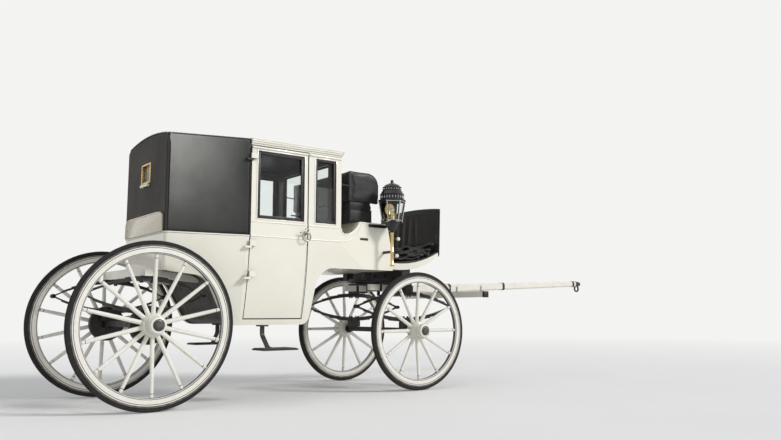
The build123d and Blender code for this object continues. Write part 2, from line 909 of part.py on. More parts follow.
# Wheels: axle name, axle X, wheel radius, number of spokes, half the spring's length
axles = (
    ("rear", rear_axle_x, rear_wheel_r, rear_spokes, rear_spring_half),
    ("front", front_axle_x, front_wheel_r, front_spokes, front_spring_half),
)
rim_y = -track / 2
for axle, x, r, spokes, spring_half in axles:
    spin = Axis((x, 0, r), (0, 1, 0))
    felloe_out = r - tyre_depth
    felloe_in = felloe_out - felloe_depth
    with BuildPart() as tyre:
        with BuildSketch(Plane.YZ.offset(x)):
            with BuildLine():
                Polyline(
                    (rim_y - tyre_half, r + felloe_out),
                    (rim_y - tread_half, 2 * r),
                    (rim_y + tread_half, 2 * r),
                    (rim_y + tyre_half, r + felloe_out),
                    close=True,
                )
            make_face()
        revolve(axis=spin)
    save_pair(tyre.part, f"{axle}_tyre")

    with BuildPart() as spoke:
        foot = Vector(x, rim_y + dish, r + hub_r - spoke_root)
        tip = Vector(x, rim_y, r + felloe_in + spoke_root / 2)
        for end, end_r in ((foot, spoke_foot_r), (tip, spoke_tip_r)):
            with BuildSketch(Plane(end, x_dir=(1, 0, 0), z_dir=tip - foot)):
                RegularPolygon(end_r, spoke_sides)
        loft(ruled=True)
    with BuildPart() as wheel:
        with BuildSketch(Plane.YZ.offset(x)):
            with Locations((rim_y, r + felloe_in + felloe_depth / 2)):
                Rectangle(2 * felloe_half, felloe_depth)
            chamfer(vertices().group_by(Axis.Y)[0], length=edge_cut)
            with BuildLine():
                Polyline(
                    (rim_y + hub_inner, r),
                    (rim_y + hub_inner, r + hub_nose_r + edge_cut),
                    (rim_y + dish + hub_barrel_half, r + hub_r),
                    (rim_y + dish - hub_barrel_half, r + hub_r),
                    (rim_y - hub_outer, r + hub_nose_r),
                    (rim_y - hub_outer, r),
                    close=True,
                )
            make_face()
        revolve(axis=spin)
        for number in range(spokes):
            add(spoke.part.rotate(spin, 360 * number / spokes))
        with Locations(Plane((x, rim_y - arm_reach, r), z_dir=(0, 1, 0))):
            Cylinder(
                arm_r + running_gap,
                arm_reach + hub_inner,
                align=(Align.CENTER, Align.CENTER, Align.MIN),
                mode=Mode.SUBTRACT,
            )
    save_pair(wheel.part, f"{axle}_wheel")

    with BuildPart() as hub_cap:
        with BuildSketch(Plane.YZ.offset(x)):
            with BuildLine():
                Polyline(
                    (rim_y - hub_outer, r),
                    (rim_y - hub_outer, r + hub_nose_r),
                    (rim_y - hub_outer - cap_rim, r + hub_nose_r - edge_cut / 2),
                    (rim_y - hub_outer - cap_rim, r + cap_rim_r),
                    (rim_y - hub_outer - cap_reach, r + cap_nose_r),
                    (rim_y - hub_outer - cap_reach, r),
                    close=True,
                )
            make_face()
        revolve(axis=spin)
    save_pair(hub_cap.part, f"{axle}_hub_cap")

# Brake drums on the inner faces of the rear naves
drum_inner = rim_y + hub_inner + drum_width
with BuildPart() as brake_drum:
    with BuildSketch(Plane.XZ.offset(-drum_inner)):
        with Locations((rear_axle_x, rear_wheel_r)):
            Circle(drum_r)
            Circle(axle_collar_r + edge_cut, mode=Mode.SUBTRACT)
    extrude(amount=drum_width)
    chamfer(brake_drum.edges().filter_by(GeomType.CIRCLE).sort_by(SortBy.RADIUS)[-2:], length=edge_cut)
save_pair(brake_drum.part, "brake_drum")

# Axles: a square bar, collars, arms in the naves, and the blocks under the springs
for axle, x, r, spokes, spring_half in axles:
    with BuildPart() as axle_part:
        collar_out = -rim_y - hub_inner - axle_collar_gap
        bar_end = collar_out - axle_collar_width
        with Locations(Plane((x, 0, r), z_dir=(0, 1, 0))):
            Cylinder(arm_r, 2 * (arm_reach - running_gap * 4 - rim_y))
            Cylinder(axle_collar_r, 2 * collar_out)
            Cylinder(axle_collar_r, 2 * bar_end, mode=Mode.SUBTRACT)
        block(
            (x - axle_bar / 2, x + axle_bar / 2),
            (-bar_end, bar_end),
            (r - axle_bar / 2, r + axle_bar / 2),
        )
        for side in (-1, 1):
            block(
                (x - spring_pad_half, x + spring_pad_half),
                (side * spring_y - spring_width / 2, side * spring_y + spring_width / 2),
                (r + axle_bar / 2, r + axle_bar / 2 + spring_block),
            )
    save(axle_part.part, f"{axle}_axle")

# Full elliptic springs: graded leaves, longest inside, meeting at the eyes
spring_stack = spring_rise + leaf * (leaf_count - 0.5)


def eye_height(r):
    """Height of a spring's eyes over an axle of a given wheel radius."""
    return r + axle_bar / 2 + spring_block + spring_stack


def leaf_band(x, eye_z, half, up, number):
    """One leaf as a band between two arcs, up for the upper half of the spring."""
    spring_r = (half**2 + spring_rise**2) / (2 * spring_rise)
    centre_z = eye_z + up * (spring_rise - spring_r)
    sweep_angle = asin(half / spring_r) * (1 - leaf_step * number)
    inner = spring_r + leaf * (number - 0.5) - leaf_overlap
    outer = spring_r + leaf * (number + 0.5)
    ends = [
        (x + radius * sin(turn), centre_z + up * radius * cos(turn))
        for radius in (inner, outer)
        for turn in (-sweep_angle, 0, sweep_angle)
    ]
    with BuildLine() as band:
        ThreePointArc(*ends[:3])
        Line(ends[2], ends[5])
        ThreePointArc(*reversed(ends[3:]))
        Line(ends[3], ends[0])
    make_face(band.edges())


for axle, x, r, spokes, spring_half in axles:
    eye_z = eye_height(r)
    with BuildPart() as springs:
        with BuildSketch(Plane.XZ.offset(spring_y - spring_width / 2)):
            for up in (-1, 1):
                for number in range(leaf_count):
                    leaf_band(x, eye_z, spring_half, up, number)
            with Locations((x - spring_half, eye_z), (x + spring_half, eye_z)):
                Circle(eye_r)
        extrude(amount=spring_width)
        mirror(about=Plane.XZ)
    save(springs.part, f"{axle}_springs")

# Rear irons: a cross bar on the springs and two pump handles under the body
rear_top = eye_height(rear_wheel_r) + spring_stack
cross_half = spring_y + spring_width
iron_end_z = rear_floor_z - rear_floor_fall
with BuildPart() as rear_irons:
    block(
        (fx(-cross_bar / 2), fx(cross_bar / 2)),
        (-cross_half, cross_half),
        (rear_top, rear_floor_z + cross_bar_rise),
    )
    for y in (-iron_y, iron_y):
        side_slab(
            (
                (-cross_bar / 2, rear_top),
                (cross_bar, rear_top),
                (rear_floor_end, iron_end_z - iron_depth),
                (rear_floor_end, iron_end_z + floor_lift),
                (quarter_start, rear_floor_z),
                (-cross_bar / 2, rear_floor_z),
            ),
            y - iron_width / 2,
            y + iron_width / 2,
        )
    add(above_underside(0), mode=Mode.SUBTRACT)
save(rear_irons.part, "rear_irons")

# Fore carriage, fixed half: ring, its plate, blocks and the king pin
spring_top = eye_height(front_wheel_r) + spring_stack
lower_ring_top = bolster_top + ring_thick
upper_ring_low = lower_ring_top + running_gap
upper_ring_top = upper_ring_low + ring_thick
transom_half = bolster_width / 2 + transom_flange
transom_plate = ring_r - ring_width / 2
ring_block_front = boot_front - ring_block_gap
with BuildPart() as upper_turntable:
    with BuildSketch(Plane((front_axle_x, 0, upper_ring_low))):
        Circle(ring_r)
        Circle(ring_r - ring_width, mode=Mode.SUBTRACT)
    extrude(amount=ring_thick)
    block(
        (front_axle_x - transom_half, front_axle_x + transom_half),
        (-transom_plate, transom_plate),
        (upper_ring_low, upper_ring_top),
    )
    for y in (-ring_block_y, ring_block_y):
        block(
            (fx(ring_block_front - 2 * ring_block_half), fx(ring_block_front)),
            (y - ring_block_half, y + ring_block_half),
            (upper_ring_low, boot_bottom),
        )
    with Locations((front_axle_x, 0, upper_ring_top)):
        Cylinder(
            kingpin_r,
            upper_ring_top - spring_top + kingpin_reach,
            align=(Align.CENTER, Align.CENTER, Align.MAX),
        )
save(upper_turntable.part, "upper_turntable")

# Transom on the ring, and two stays up to the toe board
with BuildPart() as transom:
    block(
        (front_axle_x - transom_half, front_axle_x + transom_half),
        (mat_border - toe_half, toe_half - mat_border),
        (upper_ring_top, boot_bottom + transom_rise),
    )
    for y in (-toe_stay_y, toe_stay_y):
        block(
            (front_axle_x + toe_stay_x - toe_stay / 2, front_axle_x + toe_stay_x + toe_stay / 2),
            (y - toe_stay / 2, y + toe_stay / 2),
            (upper_ring_top, boot_bottom + toe_stay_rise),
        )
    add(toe_board, mode=Mode.SUBTRACT)
save(transom.part, "transom")

# Fore carriage, turning half: futchells, bolster with its ring, and the heel of the pole
def pole_half(x):
    """Half the pole's thickness at a distance forward of the rear axle."""
    share = (x - pole_rear) / (pole_tip - pole_rear)
    return (pole_rear_size + share * (pole_tip_size - pole_rear_size)) / 2


def pole_z(x):
    """Height of the pole's centre line."""
    return pole_z_at_axle + pole_rise * (x - wheelbase)


splinter_top = pole_z(splinter_x) - pole_half(splinter_x) + 1.5
futchell_front = splinter_x + splinter_size / 2
futchell_low = splinter_top
heel_top = pole_z(pole_rear) - pole_half(pole_rear)
with BuildPart() as futchells:
    with BuildSketch(Plane.XY.offset(futchell_low)):
        with BuildLine():
            Polyline(
                (fx(futchell_rear), -futchell_rear_y),
                (fx(futchell_front), -futchell_front_y),
                (fx(futchell_front), futchell_width - futchell_front_y),
                (fx(futchell_rear), futchell_width - futchell_rear_y),
                close=True,
            )
        make_face()
    extrude(amount=futchell_depth)
    heel_y = futchell_rear_y + (futchell_front_y - futchell_rear_y) * (pole_rear - futchell_rear) / (
        futchell_front - futchell_rear
    )
    block(
        (fx(pole_rear), fx(pole_rear + heel_length)),
        (heel_inset - heel_y, heel_inset - heel_y + heel_thick),
        (heel_top - heel_thick, futchell_low + 2),
    )
    block(
        (fx(pole_rear), fx(pole_rear + heel_length)),
        (heel_inset - heel_y, 0),
        (heel_top - heel_thick, heel_top),
    )
    mirror(about=Plane.XZ)
save(futchells.part, "futchells")

with BuildPart() as lower_turntable:
    block(
        (front_axle_x - bolster_width / 2, front_axle_x + bolster_width / 2),
        (-bolster_half, bolster_half),
        (spring_top, bolster_top),
    )
    with BuildSketch(Plane((front_axle_x, 0, bolster_top))):
        Circle(ring_r)
        Circle(ring_r - ring_width, mode=Mode.SUBTRACT)
    extrude(amount=ring_thick)
    with Locations((front_axle_x, 0, bolster_top)):
        Cylinder(
            kingpin_r + running_gap,
            2 * (bolster_top - spring_top),
            mode=Mode.SUBTRACT,
        )
    add(futchells.part, mode=Mode.SUBTRACT)
    block(
        (front_axle_x - bolster_width / 2, front_axle_x + bolster_width / 2),
        (-futchell_rear_y, futchell_rear_y),
        (spring_top, futchell_low),
        Mode.SUBTRACT,
    )
save(lower_turntable.part, "lower_turntable")

# Splinter bar under the pole and the futchells, with its roller bolts
with BuildPart() as splinter_bar:
    block(
        (fx(splinter_x - splinter_size / 2), fx(splinter_x + splinter_size / 2)),
        (-splinter_half, splinter_half),
        (splinter_top - splinter_size, splinter_top),
    )
    fillet(splinter_bar.edges().filter_by(Axis.Z), radius=bar_round)
    for y in (roller_end - splinter_half, -roller_inner_y, roller_inner_y, splinter_half - roller_end):
        with Locations((fx(splinter_x), y, splinter_top)):
            Cylinder(roller_r, roller_height, align=(Align.CENTER, Align.CENTER, Align.MIN))
save(splinter_bar.part, "splinter_bar")

with BuildPart() as pole:
    for x in (pole_rear, pole_tip):
        with BuildSketch(Plane.YZ.offset(fx(x))):
            with Locations((0, pole_z(x))):
                Rectangle(2 * pole_half(x), 2 * pole_half(x))
            chamfer(vertices(), length=pole_cut)
    loft()
    add(splinter_bar.part, mode=Mode.SUBTRACT)
    add(futchells.part, mode=Mode.SUBTRACT)
save(pole.part, "pole")

# Pole head: an iron cap with a ring on each side for the pole chains
head_end = pole_tip + pole_head_length
with BuildPart() as pole_head:
    with BuildSketch(Plane.YZ.offset(fx(pole_tip))):
        with Locations((0, pole_z(pole_tip))):
            RegularPolygon(pole_half(pole_tip) + cap_over_pole, 8, rotation=22.5)
    extrude(amount=head_end - pole_tip, taper=cap_taper)
    ring_z = pole_z(pole_tip) - pole_half(pole_tip) - ring_eye_r + 2
    with BuildSketch(Plane.XZ.offset(-ring_bar / 2)):
        with Locations((fx(pole_tip + ring_back), ring_z)):
            Circle(ring_eye_r + ring_bar)
            Circle(ring_eye_r, mode=Mode.SUBTRACT)
    extrude(amount=ring_bar)
save(pole_head.part, "pole_head")
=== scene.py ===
"""A closed horse-drawn coupe carriage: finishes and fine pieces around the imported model."""

import logging
import math
from contextlib import AbstractContextManager, contextmanager
from dataclasses import dataclass
from enum import Enum
from typing import Callable, Iterator, Optional, Sequence

import bmesh
import bpy
from mathutils import Matrix, Vector
from mathutils.bvhtree import BVHTree

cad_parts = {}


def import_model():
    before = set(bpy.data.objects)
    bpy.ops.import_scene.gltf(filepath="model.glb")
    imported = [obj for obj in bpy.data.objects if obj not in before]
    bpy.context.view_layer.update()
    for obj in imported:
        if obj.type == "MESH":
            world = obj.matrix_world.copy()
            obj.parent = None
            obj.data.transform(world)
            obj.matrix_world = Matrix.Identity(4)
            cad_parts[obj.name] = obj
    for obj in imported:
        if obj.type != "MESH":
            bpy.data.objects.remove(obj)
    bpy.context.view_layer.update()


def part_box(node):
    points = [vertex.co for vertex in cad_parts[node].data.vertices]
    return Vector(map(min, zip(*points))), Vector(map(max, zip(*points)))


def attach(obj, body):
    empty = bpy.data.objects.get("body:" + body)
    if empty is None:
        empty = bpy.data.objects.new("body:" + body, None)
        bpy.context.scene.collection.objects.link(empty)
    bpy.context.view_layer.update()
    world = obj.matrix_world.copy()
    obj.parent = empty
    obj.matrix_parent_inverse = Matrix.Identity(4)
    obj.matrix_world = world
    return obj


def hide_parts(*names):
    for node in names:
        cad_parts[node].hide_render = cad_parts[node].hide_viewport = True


Point = tuple[float, float, float]
Pair = tuple[float, float]
Socket = bpy.types.NodeSocket
Mesh = bpy.types.Mesh
Thing = bpy.types.Object

LOG = logging.getLogger("carriage")
BODY, FORE = "carriage_body", "fore_carriage"
SIDES = (("right", -1), ("left", 1))
AHEAD, UP = (1.0, 0.0, 0.0), (0.0, 0.0, 1.0)
MERGE = 1e-6  # vertices nearer than this are one

# Every X below is counted forward from the rear axle, which stands here in the model.
REAR_AXLE_X = -2.420
REAR_RADIUS, FRONT_RADIUS = 0.600, 0.525
FRONT_AXLE = 2.414
RIM_Y = 0.610
HALF_WIDTH, REAR_HALF = 0.550, 0.453
BELT_Z, BOOT_TOP_Z = 1.280, 1.475
BODY_REAR, TAPER_FRONT, BODY_FRONT = 0.110, 0.727, 1.610
CORNER = 0.030


def along(distance: float) -> float:
    """Model X of a distance forward of the rear axle, in metres."""
    return REAR_AXLE_X + distance


def spot(point: Sequence[float]) -> Vector:
    """Model position of a point whose X is counted from the rear axle."""
    return Vector((along(point[0]), point[1], point[2]))


def half_at(x: float) -> float:
    """Half the cabin's width above the belt."""
    behind = max(TAPER_FRONT - x, 0.0) / (TAPER_FRONT - BODY_REAR)
    return HALF_WIDTH - behind * (HALF_WIDTH - REAR_HALF)


def boot_half(x: float) -> float:
    """Half the width above the belt, on along the boot."""
    return HALF_WIDTH if x < BODY_FRONT else HALF_WIDTH - (x - BODY_FRONT) * 0.045 / 0.590


def turns(count: int, offset: float = 0.0) -> list[float]:
    """Angles of equal steps round a full turn, in radians."""
    return [2 * math.pi * (number + offset) / count for number in range(count)]


def arc(centre: Pair, radius: float, start: float, end: float, steps: int) -> list[Pair]:
    """Points along an arc in two dimensions, angles in degrees."""
    angles = [math.radians(start + (end - start) * n / steps) for n in range(steps + 1)]
    return [(centre[0] + radius * math.cos(t), centre[1] + radius * math.sin(t)) for t in angles]


def arc_height(points: Sequence[Pair], x: float, upper: bool = False) -> float:
    """Height at a distance of the circle through three points, on its lower or upper half.

    Args:
        points: the three points, each a distance and a height.
        x: the distance.
        upper: whether it lies on the circle's upper half.

    Returns:
        The height.
    """
    (ax, az), (bx, bz), (cx, cz) = points
    a, b, c = (px * px + pz * pz for px, pz in points)
    d = 2 * (ax * (bz - cz) + bx * (cz - az) + cx * (az - bz))
    ux = (a * (bz - cz) + b * (cz - az) + c * (az - bz)) / d
    uz = (a * (cx - bx) + b * (ax - cx) + c * (bx - ax)) / d
    rise = math.sqrt((ax - ux) ** 2 + (az - uz) ** 2 - (x - ux) ** 2)
    return uz + rise if upper else uz - rise


def mirrored(path: Sequence[Point]) -> list[Point]:
    """The same points on the other side, in reverse order."""
    return [(x, -y, z) for x, y, z in reversed(path)]


# ---------------------------------------------------------------- node sheets


class Sheet:
    """Adds and joins the nodes of one material, world or node group."""

    def __init__(self, tree: bpy.types.NodeTree) -> None:
        """Keeps the tree that the nodes go into."""
        self.tree = tree

    def give(self, socket: Socket, value: object) -> None:
        """Links another socket to an input, or sets the input's own value.

        Args:
            socket: the input.
            value: the other socket, or the value.
        """
        if isinstance(value, bpy.types.NodeSocket):
            self.tree.links.new(value, socket)
        else:
            socket.default_value = value

    def add(self, kind: str, inputs: Optional[dict] = None, **options: object) -> bpy.types.Node:
        """Adds one node.

        Args:
            kind: the node's type without its ShaderNode prefix.
            inputs: values or sockets for its inputs, by name or number.
            options: attributes set on the node itself.

        Returns:
            The new node.
        """
        node = self.tree.nodes.new(kind if kind.startswith("Node") else "ShaderNode" + kind)
        for name, value in options.items():
            setattr(node, name, value)
        for name, value in (inputs or {}).items():
            self.give(node.inputs[name], value)
        return node

    def blend(self, share: object, low: object, high: object) -> Socket:
        """Mixes two colours by a share between 0 and 1."""
        low, high = ((*tone, 1.0) if isinstance(tone, tuple) else tone for tone in (low, high))
        return self.add("Mix", {0: share, 6: low, 7: high}, data_type="RGBA").outputs[2]

    def span(self, value: Socket, source: Sequence, target: Pair) -> Socket:
        """Maps a value from one range to another, held at both ends."""
        return self.add("MapRange", dict(enumerate((value, *source, *target)))).outputs[0]

    def sums(self, kind: str, first: object, *others: object, clamp: bool = False) -> Socket:
        """Joins numbers from left to right by one kind of sum, such as MULTIPLY.

        Args:
            kind: the Math node's operation.
            first: the first number or socket.
            others: the next ones, or none where the operation takes a single number.
            clamp: whether results are held between 0 and 1.

        Returns:
            The result.
        """
        for other in others or (None,):
            inputs = {0: first} if other is None else {0: first, 1: other}
            first = self.add("Math", inputs, operation=kind, use_clamp=clamp).outputs[0]
        return first

    def inside(self, value: Socket, limits: Pair) -> Socket:
        """Gives 1 where a value lies between two limits and 0 elsewhere."""
        above = self.sums("GREATER_THAN", value, limits[0])
        return self.sums("MULTIPLY", above, self.sums("LESS_THAN", value, limits[1]))

    def parts(self, value: Socket) -> Sequence[Socket]:
        """Gives the three parts of a vector."""
        return self.add("SeparateXYZ", {0: value}).outputs

    def facing(self) -> Sequence[Socket]:
        """Gives the parts of the normal in the piece's own axes, which hold at every pose."""
        return self.parts(self.add("TexCoord").outputs["Normal"])

    def noise(self, place: Socket, scale: object, detail: float, rough: float = 0.5) -> Socket:
        """Gives a cloudy noise."""
        inputs = {"Vector": place, "Scale": scale, "Detail": detail, "Roughness": rough}
        return self.add("TexNoise", inputs).outputs[0]

    def bump(self, strength: float, depth: Socket, height: Socket, normal: Optional[Socket] = None) -> Socket:
        """Gives the normal of a relief, over another normal if there is one."""
        inputs = {"Strength": strength, "Distance": depth, "Height": height}
        return self.add("Bump", inputs | ({"Normal": normal} if normal else {})).outputs[0]

    def effect(self, name: str, *values: object) -> Sequence[Socket]:
        """Adds a shared effect with its inputs in order and gives its outputs."""
        return self.add("Group", dict(enumerate(values)), node_tree=Groups.get(name)).outputs

    def shade(self, values: dict[str, object]) -> None:
        """Sets or links inputs of the material's Principled shader."""
        for label, value in values.items():
            self.give(self.tree.nodes["Principled BSDF"].inputs[label], value)

    def backed(self, shader: Socket, backdrop: bpy.types.Node, share: Callable[[Socket], Socket], *rays: str) -> None:
        """Shows a backdrop in place of a shader to some kinds of ray, at the tree's output.

        Args:
            shader: what all other rays see.
            backdrop: the backdrop's node.
            share: gives the backdrop's share from the mask of the rays.
            rays: the kinds of ray, such as Camera.
        """
        path = self.add("LightPath").outputs
        seen = share(self.sums("MAXIMUM", *(path[f"Is {kind} Ray"] for kind in rays)))
        mix = self.add("MixShader", {0: seen, 1: shader, 2: backdrop.outputs[0]})
        output = next(node for node in self.tree.nodes if node.bl_idname.startswith("ShaderNodeOutput"))
        self.give(output.inputs[0], mix.outputs[0])


class Groups:
    """The effects that several finishes share, each built once."""

    # inputs with their defaults (None for a vector), and outputs
    FACES = {
        "mottle": ((("Place", None), ("Scale", 4.0), ("Contrast", 0.5)), ("Value",)),
        "pebble": ((("Place", None), ("Scale", 300.0), ("Depth", 0.001), ("Soft", 0.5)), ("Normal",)),
        "ripple": ((("Place", None), ("Scale", 4.0), ("Depth", 0.01), ("Normal", None)), ("Normal",)),
        "dust": ((("Place", None), ("Amount", 0.3), ("Height", 1.2)), ("Mask",)),
        "weave": ((("Place", None), ("Scale", 400.0), ("Depth", 0.0008)), ("Normal", "Mask")),
    }

    @classmethod
    def get(cls, name: str) -> bpy.types.NodeTree:
        """Gives one shared group, building it at its first use.

        Args:
            name: the group's name, which is that of its method and its row in FACES.

        Returns:
            The group.
        """
        tree = bpy.data.node_groups.get(name)
        if tree:
            return tree
        tree = bpy.data.node_groups.new(name, "ShaderNodeTree")
        inputs, outputs = cls.FACES[name]
        for label, default in inputs:
            kind = "NodeSocketVector" if default is None else "NodeSocketFloat"
            made = tree.interface.new_socket(label, in_out="INPUT", socket_type=kind)
            if default is not None:
                made.default_value = default
        for label in outputs:
            kind = "NodeSocketVector" if label == "Normal" else "NodeSocketFloat"
            tree.interface.new_socket(label, in_out="OUTPUT", socket_type=kind)
        sheet = Sheet(tree)
        given = sheet.add("NodeGroupInput").outputs[: len(inputs)]
        sheet.add("NodeGroupOutput", dict(enumerate(getattr(cls, name)(sheet, *given))))
        return tree

    @staticmethod
    def mottle(sheet: Sheet, place: Socket, scale: Socket, contrast: Socket) -> Sequence[Socket]:
        """Broad and fine cloudy variation over a surface.

        Args:
            sheet: the sheet of the tree.
            place: position on the piece.
            scale: how fine the clouds are.
            contrast: how far the tones part.

        Returns:
            A value between 0 and 1.
        """
        centred = sheet.sums("SUBTRACT", sheet.noise(place, scale, 6.0, 0.6), 0.5)
        spread = sheet.sums("MULTIPLY", centred, sheet.sums("MULTIPLY", contrast, 5.0))
        return (sheet.sums("ADD", spread, 0.5, clamp=True),)

    @staticmethod
    def pebble(sheet: Sheet, place: Socket, scale: Socket, depth: Socket, soft: Socket) -> Sequence[Socket]:
        """Fine raised grain, as on leather, paint or cast iron.

        Args:
            sheet: the sheet of the tree.
            place: position on the piece.
            scale: how fine the grain is.
            depth: its height.
            soft: the share of noise among the cells.

        Returns:
            The normal.
        """
        cells = sheet.add("TexVoronoi", {"Vector": place, "Scale": scale}, feature="SMOOTH_F1").outputs[0]
        inputs = {0: soft, 2: cells, 3: sheet.noise(place, scale, 3.0)}
        height = sheet.add("Mix", inputs, data_type="FLOAT").outputs[0]
        return (sheet.bump(0.6, depth, height),)

    @staticmethod
    def ripple(sheet: Sheet, place: Socket, scale: Socket, depth: Socket, normal: Socket) -> Sequence[Socket]:
        """Slow waves of a stretched skin or board, laid over another normal."""
        return (sheet.bump(1.0, depth, sheet.noise(place, scale, 2.0), normal),)

    @staticmethod
    def dust(sheet: Sheet, place: Socket, amount: Socket, height: Socket) -> Sequence[Socket]:
        """Mask of road dust: thicker low down and on faces that look up.

        Args:
            sheet: the sheet of the tree.
            place: position on the piece.
            amount: how much dust there is.
            height: where it has thinned out.

        Returns:
            The mask.
        """
        low = sheet.span(sheet.parts(place)[2], (0.0, height), (1.0, 0.15))
        upward = sheet.span(sheet.facing()[2], (0.2, 1.0), (0.45, 1.2))
        patches = sheet.span(sheet.noise(place, 38.0, 8.0, 0.7), (0.38, 0.66), (0.1, 1.0))
        return (sheet.sums("MULTIPLY", sheet.sums("MULTIPLY", low, upward, patches), amount, clamp=True),)

    @staticmethod
    def weave(sheet: Sheet, place: Socket, scale: Socket, depth: Socket) -> Sequence[Socket]:
        """Crossed threads of a cloth, as a normal and a mask.

        Args:
            sheet: the sheet of the tree.
            place: position on the piece.
            scale: how fine the threads are.
            depth: their height.

        Returns:
            The normal and the mask.
        """
        inputs = {"Vector": place, "Scale": scale, "Distortion": 1.5}
        threads = sheet.sums(
            "MAXIMUM", *(sheet.add("TexWave", inputs, bands_direction=axis).outputs[1] for axis in "XYZ")
        )
        return sheet.bump(0.7, depth, threads), threads


# ---------------------------------------------------------------- finishes


def blank(name: str) -> tuple[bpy.types.Material, Sheet]:
    """Starts a material with nodes.

    Args:
        name: the material's name.

    Returns:
        The material and the sheet of its nodes.
    """
    material = bpy.data.materials.new(name)
    material.use_nodes = True
    return material, Sheet(material.node_tree)


@dataclass(frozen=True)
class Finish:
    """A surface finish with two tones, grain, slow ripples and road dust.

    mottle is the scale and contrast of the two tones' clouds, grain its scale, depth and softness,
    ripple its scale and depth, dust its amount and height. slot is the record's slot of its pieces.
    """

    name: str
    tone: Point
    second: Point
    rough: Pair
    mottle: Pair
    grain: Point = (300.0, 0.0004, 0.5)
    dust: Pair = (0.2, 1.2)
    ripple: Pair = (3.0, 0.0)
    slot: str = "body_paint"
    stretch: Point = (1.0, 1.0, 1.0)
    dust_tone: Point = (0.33, 0.28, 0.22)
    metallic: float = 0.0
    coat: float = 0.0
    sheen: float = 0.0
    specular: float = 0.5

    def marks(self, sheet: Sheet, place: Socket, colour: Socket, rough: Socket) -> tuple[Socket, Socket]:
        """Lays lines or other marks over the colour and roughness. The plain finish has none."""
        return colour, rough

    def relief(self, sheet: Sheet, place: Socket) -> Socket:
        """Gives the normal of the grain and, where it has them, the ripples."""
        grain = sheet.effect("pebble", place, *self.grain)[0]
        return sheet.effect("ripple", place, *self.ripple, grain)[0] if self.ripple[1] else grain

    def build(self) -> bpy.types.Material:
        """Makes the material.

        Returns:
            The new material, with one Principled shader.
        """
        material, sheet = blank(self.name)
        coordinates = sheet.add("TexCoord").outputs["Object"]
        place = sheet.add("Mapping", {"Vector": coordinates, "Scale": self.stretch}).outputs[0]
        share = sheet.effect("mottle", place, *self.mottle)[0]
        colour = sheet.blend(share, self.tone, self.second)
        rough = sheet.span(share, (0.0, 1.0), self.rough)
        colour, rough = self.marks(sheet, coordinates, colour, rough)
        if self.dust[0]:
            mask = sheet.effect("dust", coordinates, *self.dust)[0]
            colour = sheet.blend(mask, colour, self.dust_tone)
            rough = sheet.sums("ADD", rough, mask, clamp=True)
        sheet.shade({
            "Base Color": colour, "Roughness": rough, "Normal": self.relief(sheet, place), "Metallic": self.metallic,
            "Coat Weight": self.coat, "Coat Roughness": 0.08, "Sheen Weight": self.sheen,
            "Specular IOR Level": self.specular,
        })
        return material


@dataclass(frozen=True)
class LinedPaint(Finish):
    """Coach paint with thin dark rings round a wheel, on and just inside its felloe."""

    axle: Pair = (0.0, REAR_RADIUS)
    insets: tuple[float, ...] = (0.126, 0.097, 0.088, 0.053)
    line: float = 0.0030
    line_tone: Point = (0.045, 0.045, 0.05)

    def marks(self, sheet: Sheet, place: Socket, colour: Socket, rough: Socket) -> tuple[Socket, Socket]:
        """Paints rings by the distance from the axle.

        Args:
            sheet: the sheet of the tree.
            place: position in the model.
            colour: the colour so far.
            rough: the roughness so far.

        Returns:
            The colour and the roughness with the marks.
        """
        x, radius = self.axle
        centred = sheet.add("VectorMath", {0: place, 1: (along(x), 0.0, radius)}, operation="SUBTRACT")
        flat = sheet.add("VectorMath", {0: centred.outputs[0], 1: (1.0, 0.0, 1.0)}, operation="MULTIPLY")
        far = sheet.add("VectorMath", {0: flat.outputs[0]}, operation="LENGTH").outputs["Value"]
        for inset in self.insets:
            off = sheet.sums("ABSOLUTE", sheet.sums("SUBTRACT", far, radius - inset))
            mask = sheet.span(off, (self.line * 0.6, self.line), (1.0, 0.0))
            colour = sheet.blend(mask, colour, self.line_tone)
        return colour, rough


@dataclass(frozen=True)
class CoachPaint(Finish):
    """Coach paint with painted shade on the shut edges round the doors and a cloth lining inside."""

    doorway: Pair = (along(0.70), along(1.30))
    front_wall: Pair = (along(1.50), along(1.60))
    top: float = 2.015
    # painted shade: faces in the doorway that don't look sideways are darkened as if in the gap's shade
    shut_line_shade_tone: Point = (0.022, 0.019, 0.016)
    lining_tone: Point = (0.060, 0.040, 0.027)

    def marks(self, sheet: Sheet, place: Socket, colour: Socket, rough: Socket) -> tuple[Socket, Socket]:
        """Paints shade on the doorway's edge faces and lines every face that looks into the cabin.

        Args:
            sheet: the sheet of the tree.
            place: position in the model.
            colour: the colour so far.
            rough: the roughness so far.

        Returns:
            The colour and the roughness with the marks.
        """
        at, facing = sheet.parts(place), sheet.facing()
        across = sheet.sums("LESS_THAN", sheet.sums("ABSOLUTE", facing[1]), 0.5)
        low = sheet.sums("LESS_THAN", at[2], self.top)
        # mask of painted shade on the door gaps' edge faces and window reveals
        edge = sheet.sums("MULTIPLY", sheet.inside(at[0], self.doorway), across, low)
        outward = sheet.sums("MULTIPLY", sheet.sums("SIGN", at[1]), facing[1])
        inward = sheet.sums("LESS_THAN", outward, -0.4)
        rearward = sheet.sums("LESS_THAN", facing[0], -0.5)
        back = sheet.sums("MULTIPLY", sheet.inside(at[0], self.front_wall), rearward)
        lining = sheet.sums("MAXIMUM", inward, back)
        colour = sheet.blend(lining, sheet.blend(edge, colour, self.shut_line_shade_tone), self.lining_tone)
        dull = sheet.sums("MULTIPLY", sheet.sums("MAXIMUM", edge, lining), 0.6)
        return colour, sheet.sums("ADD", rough, dull)


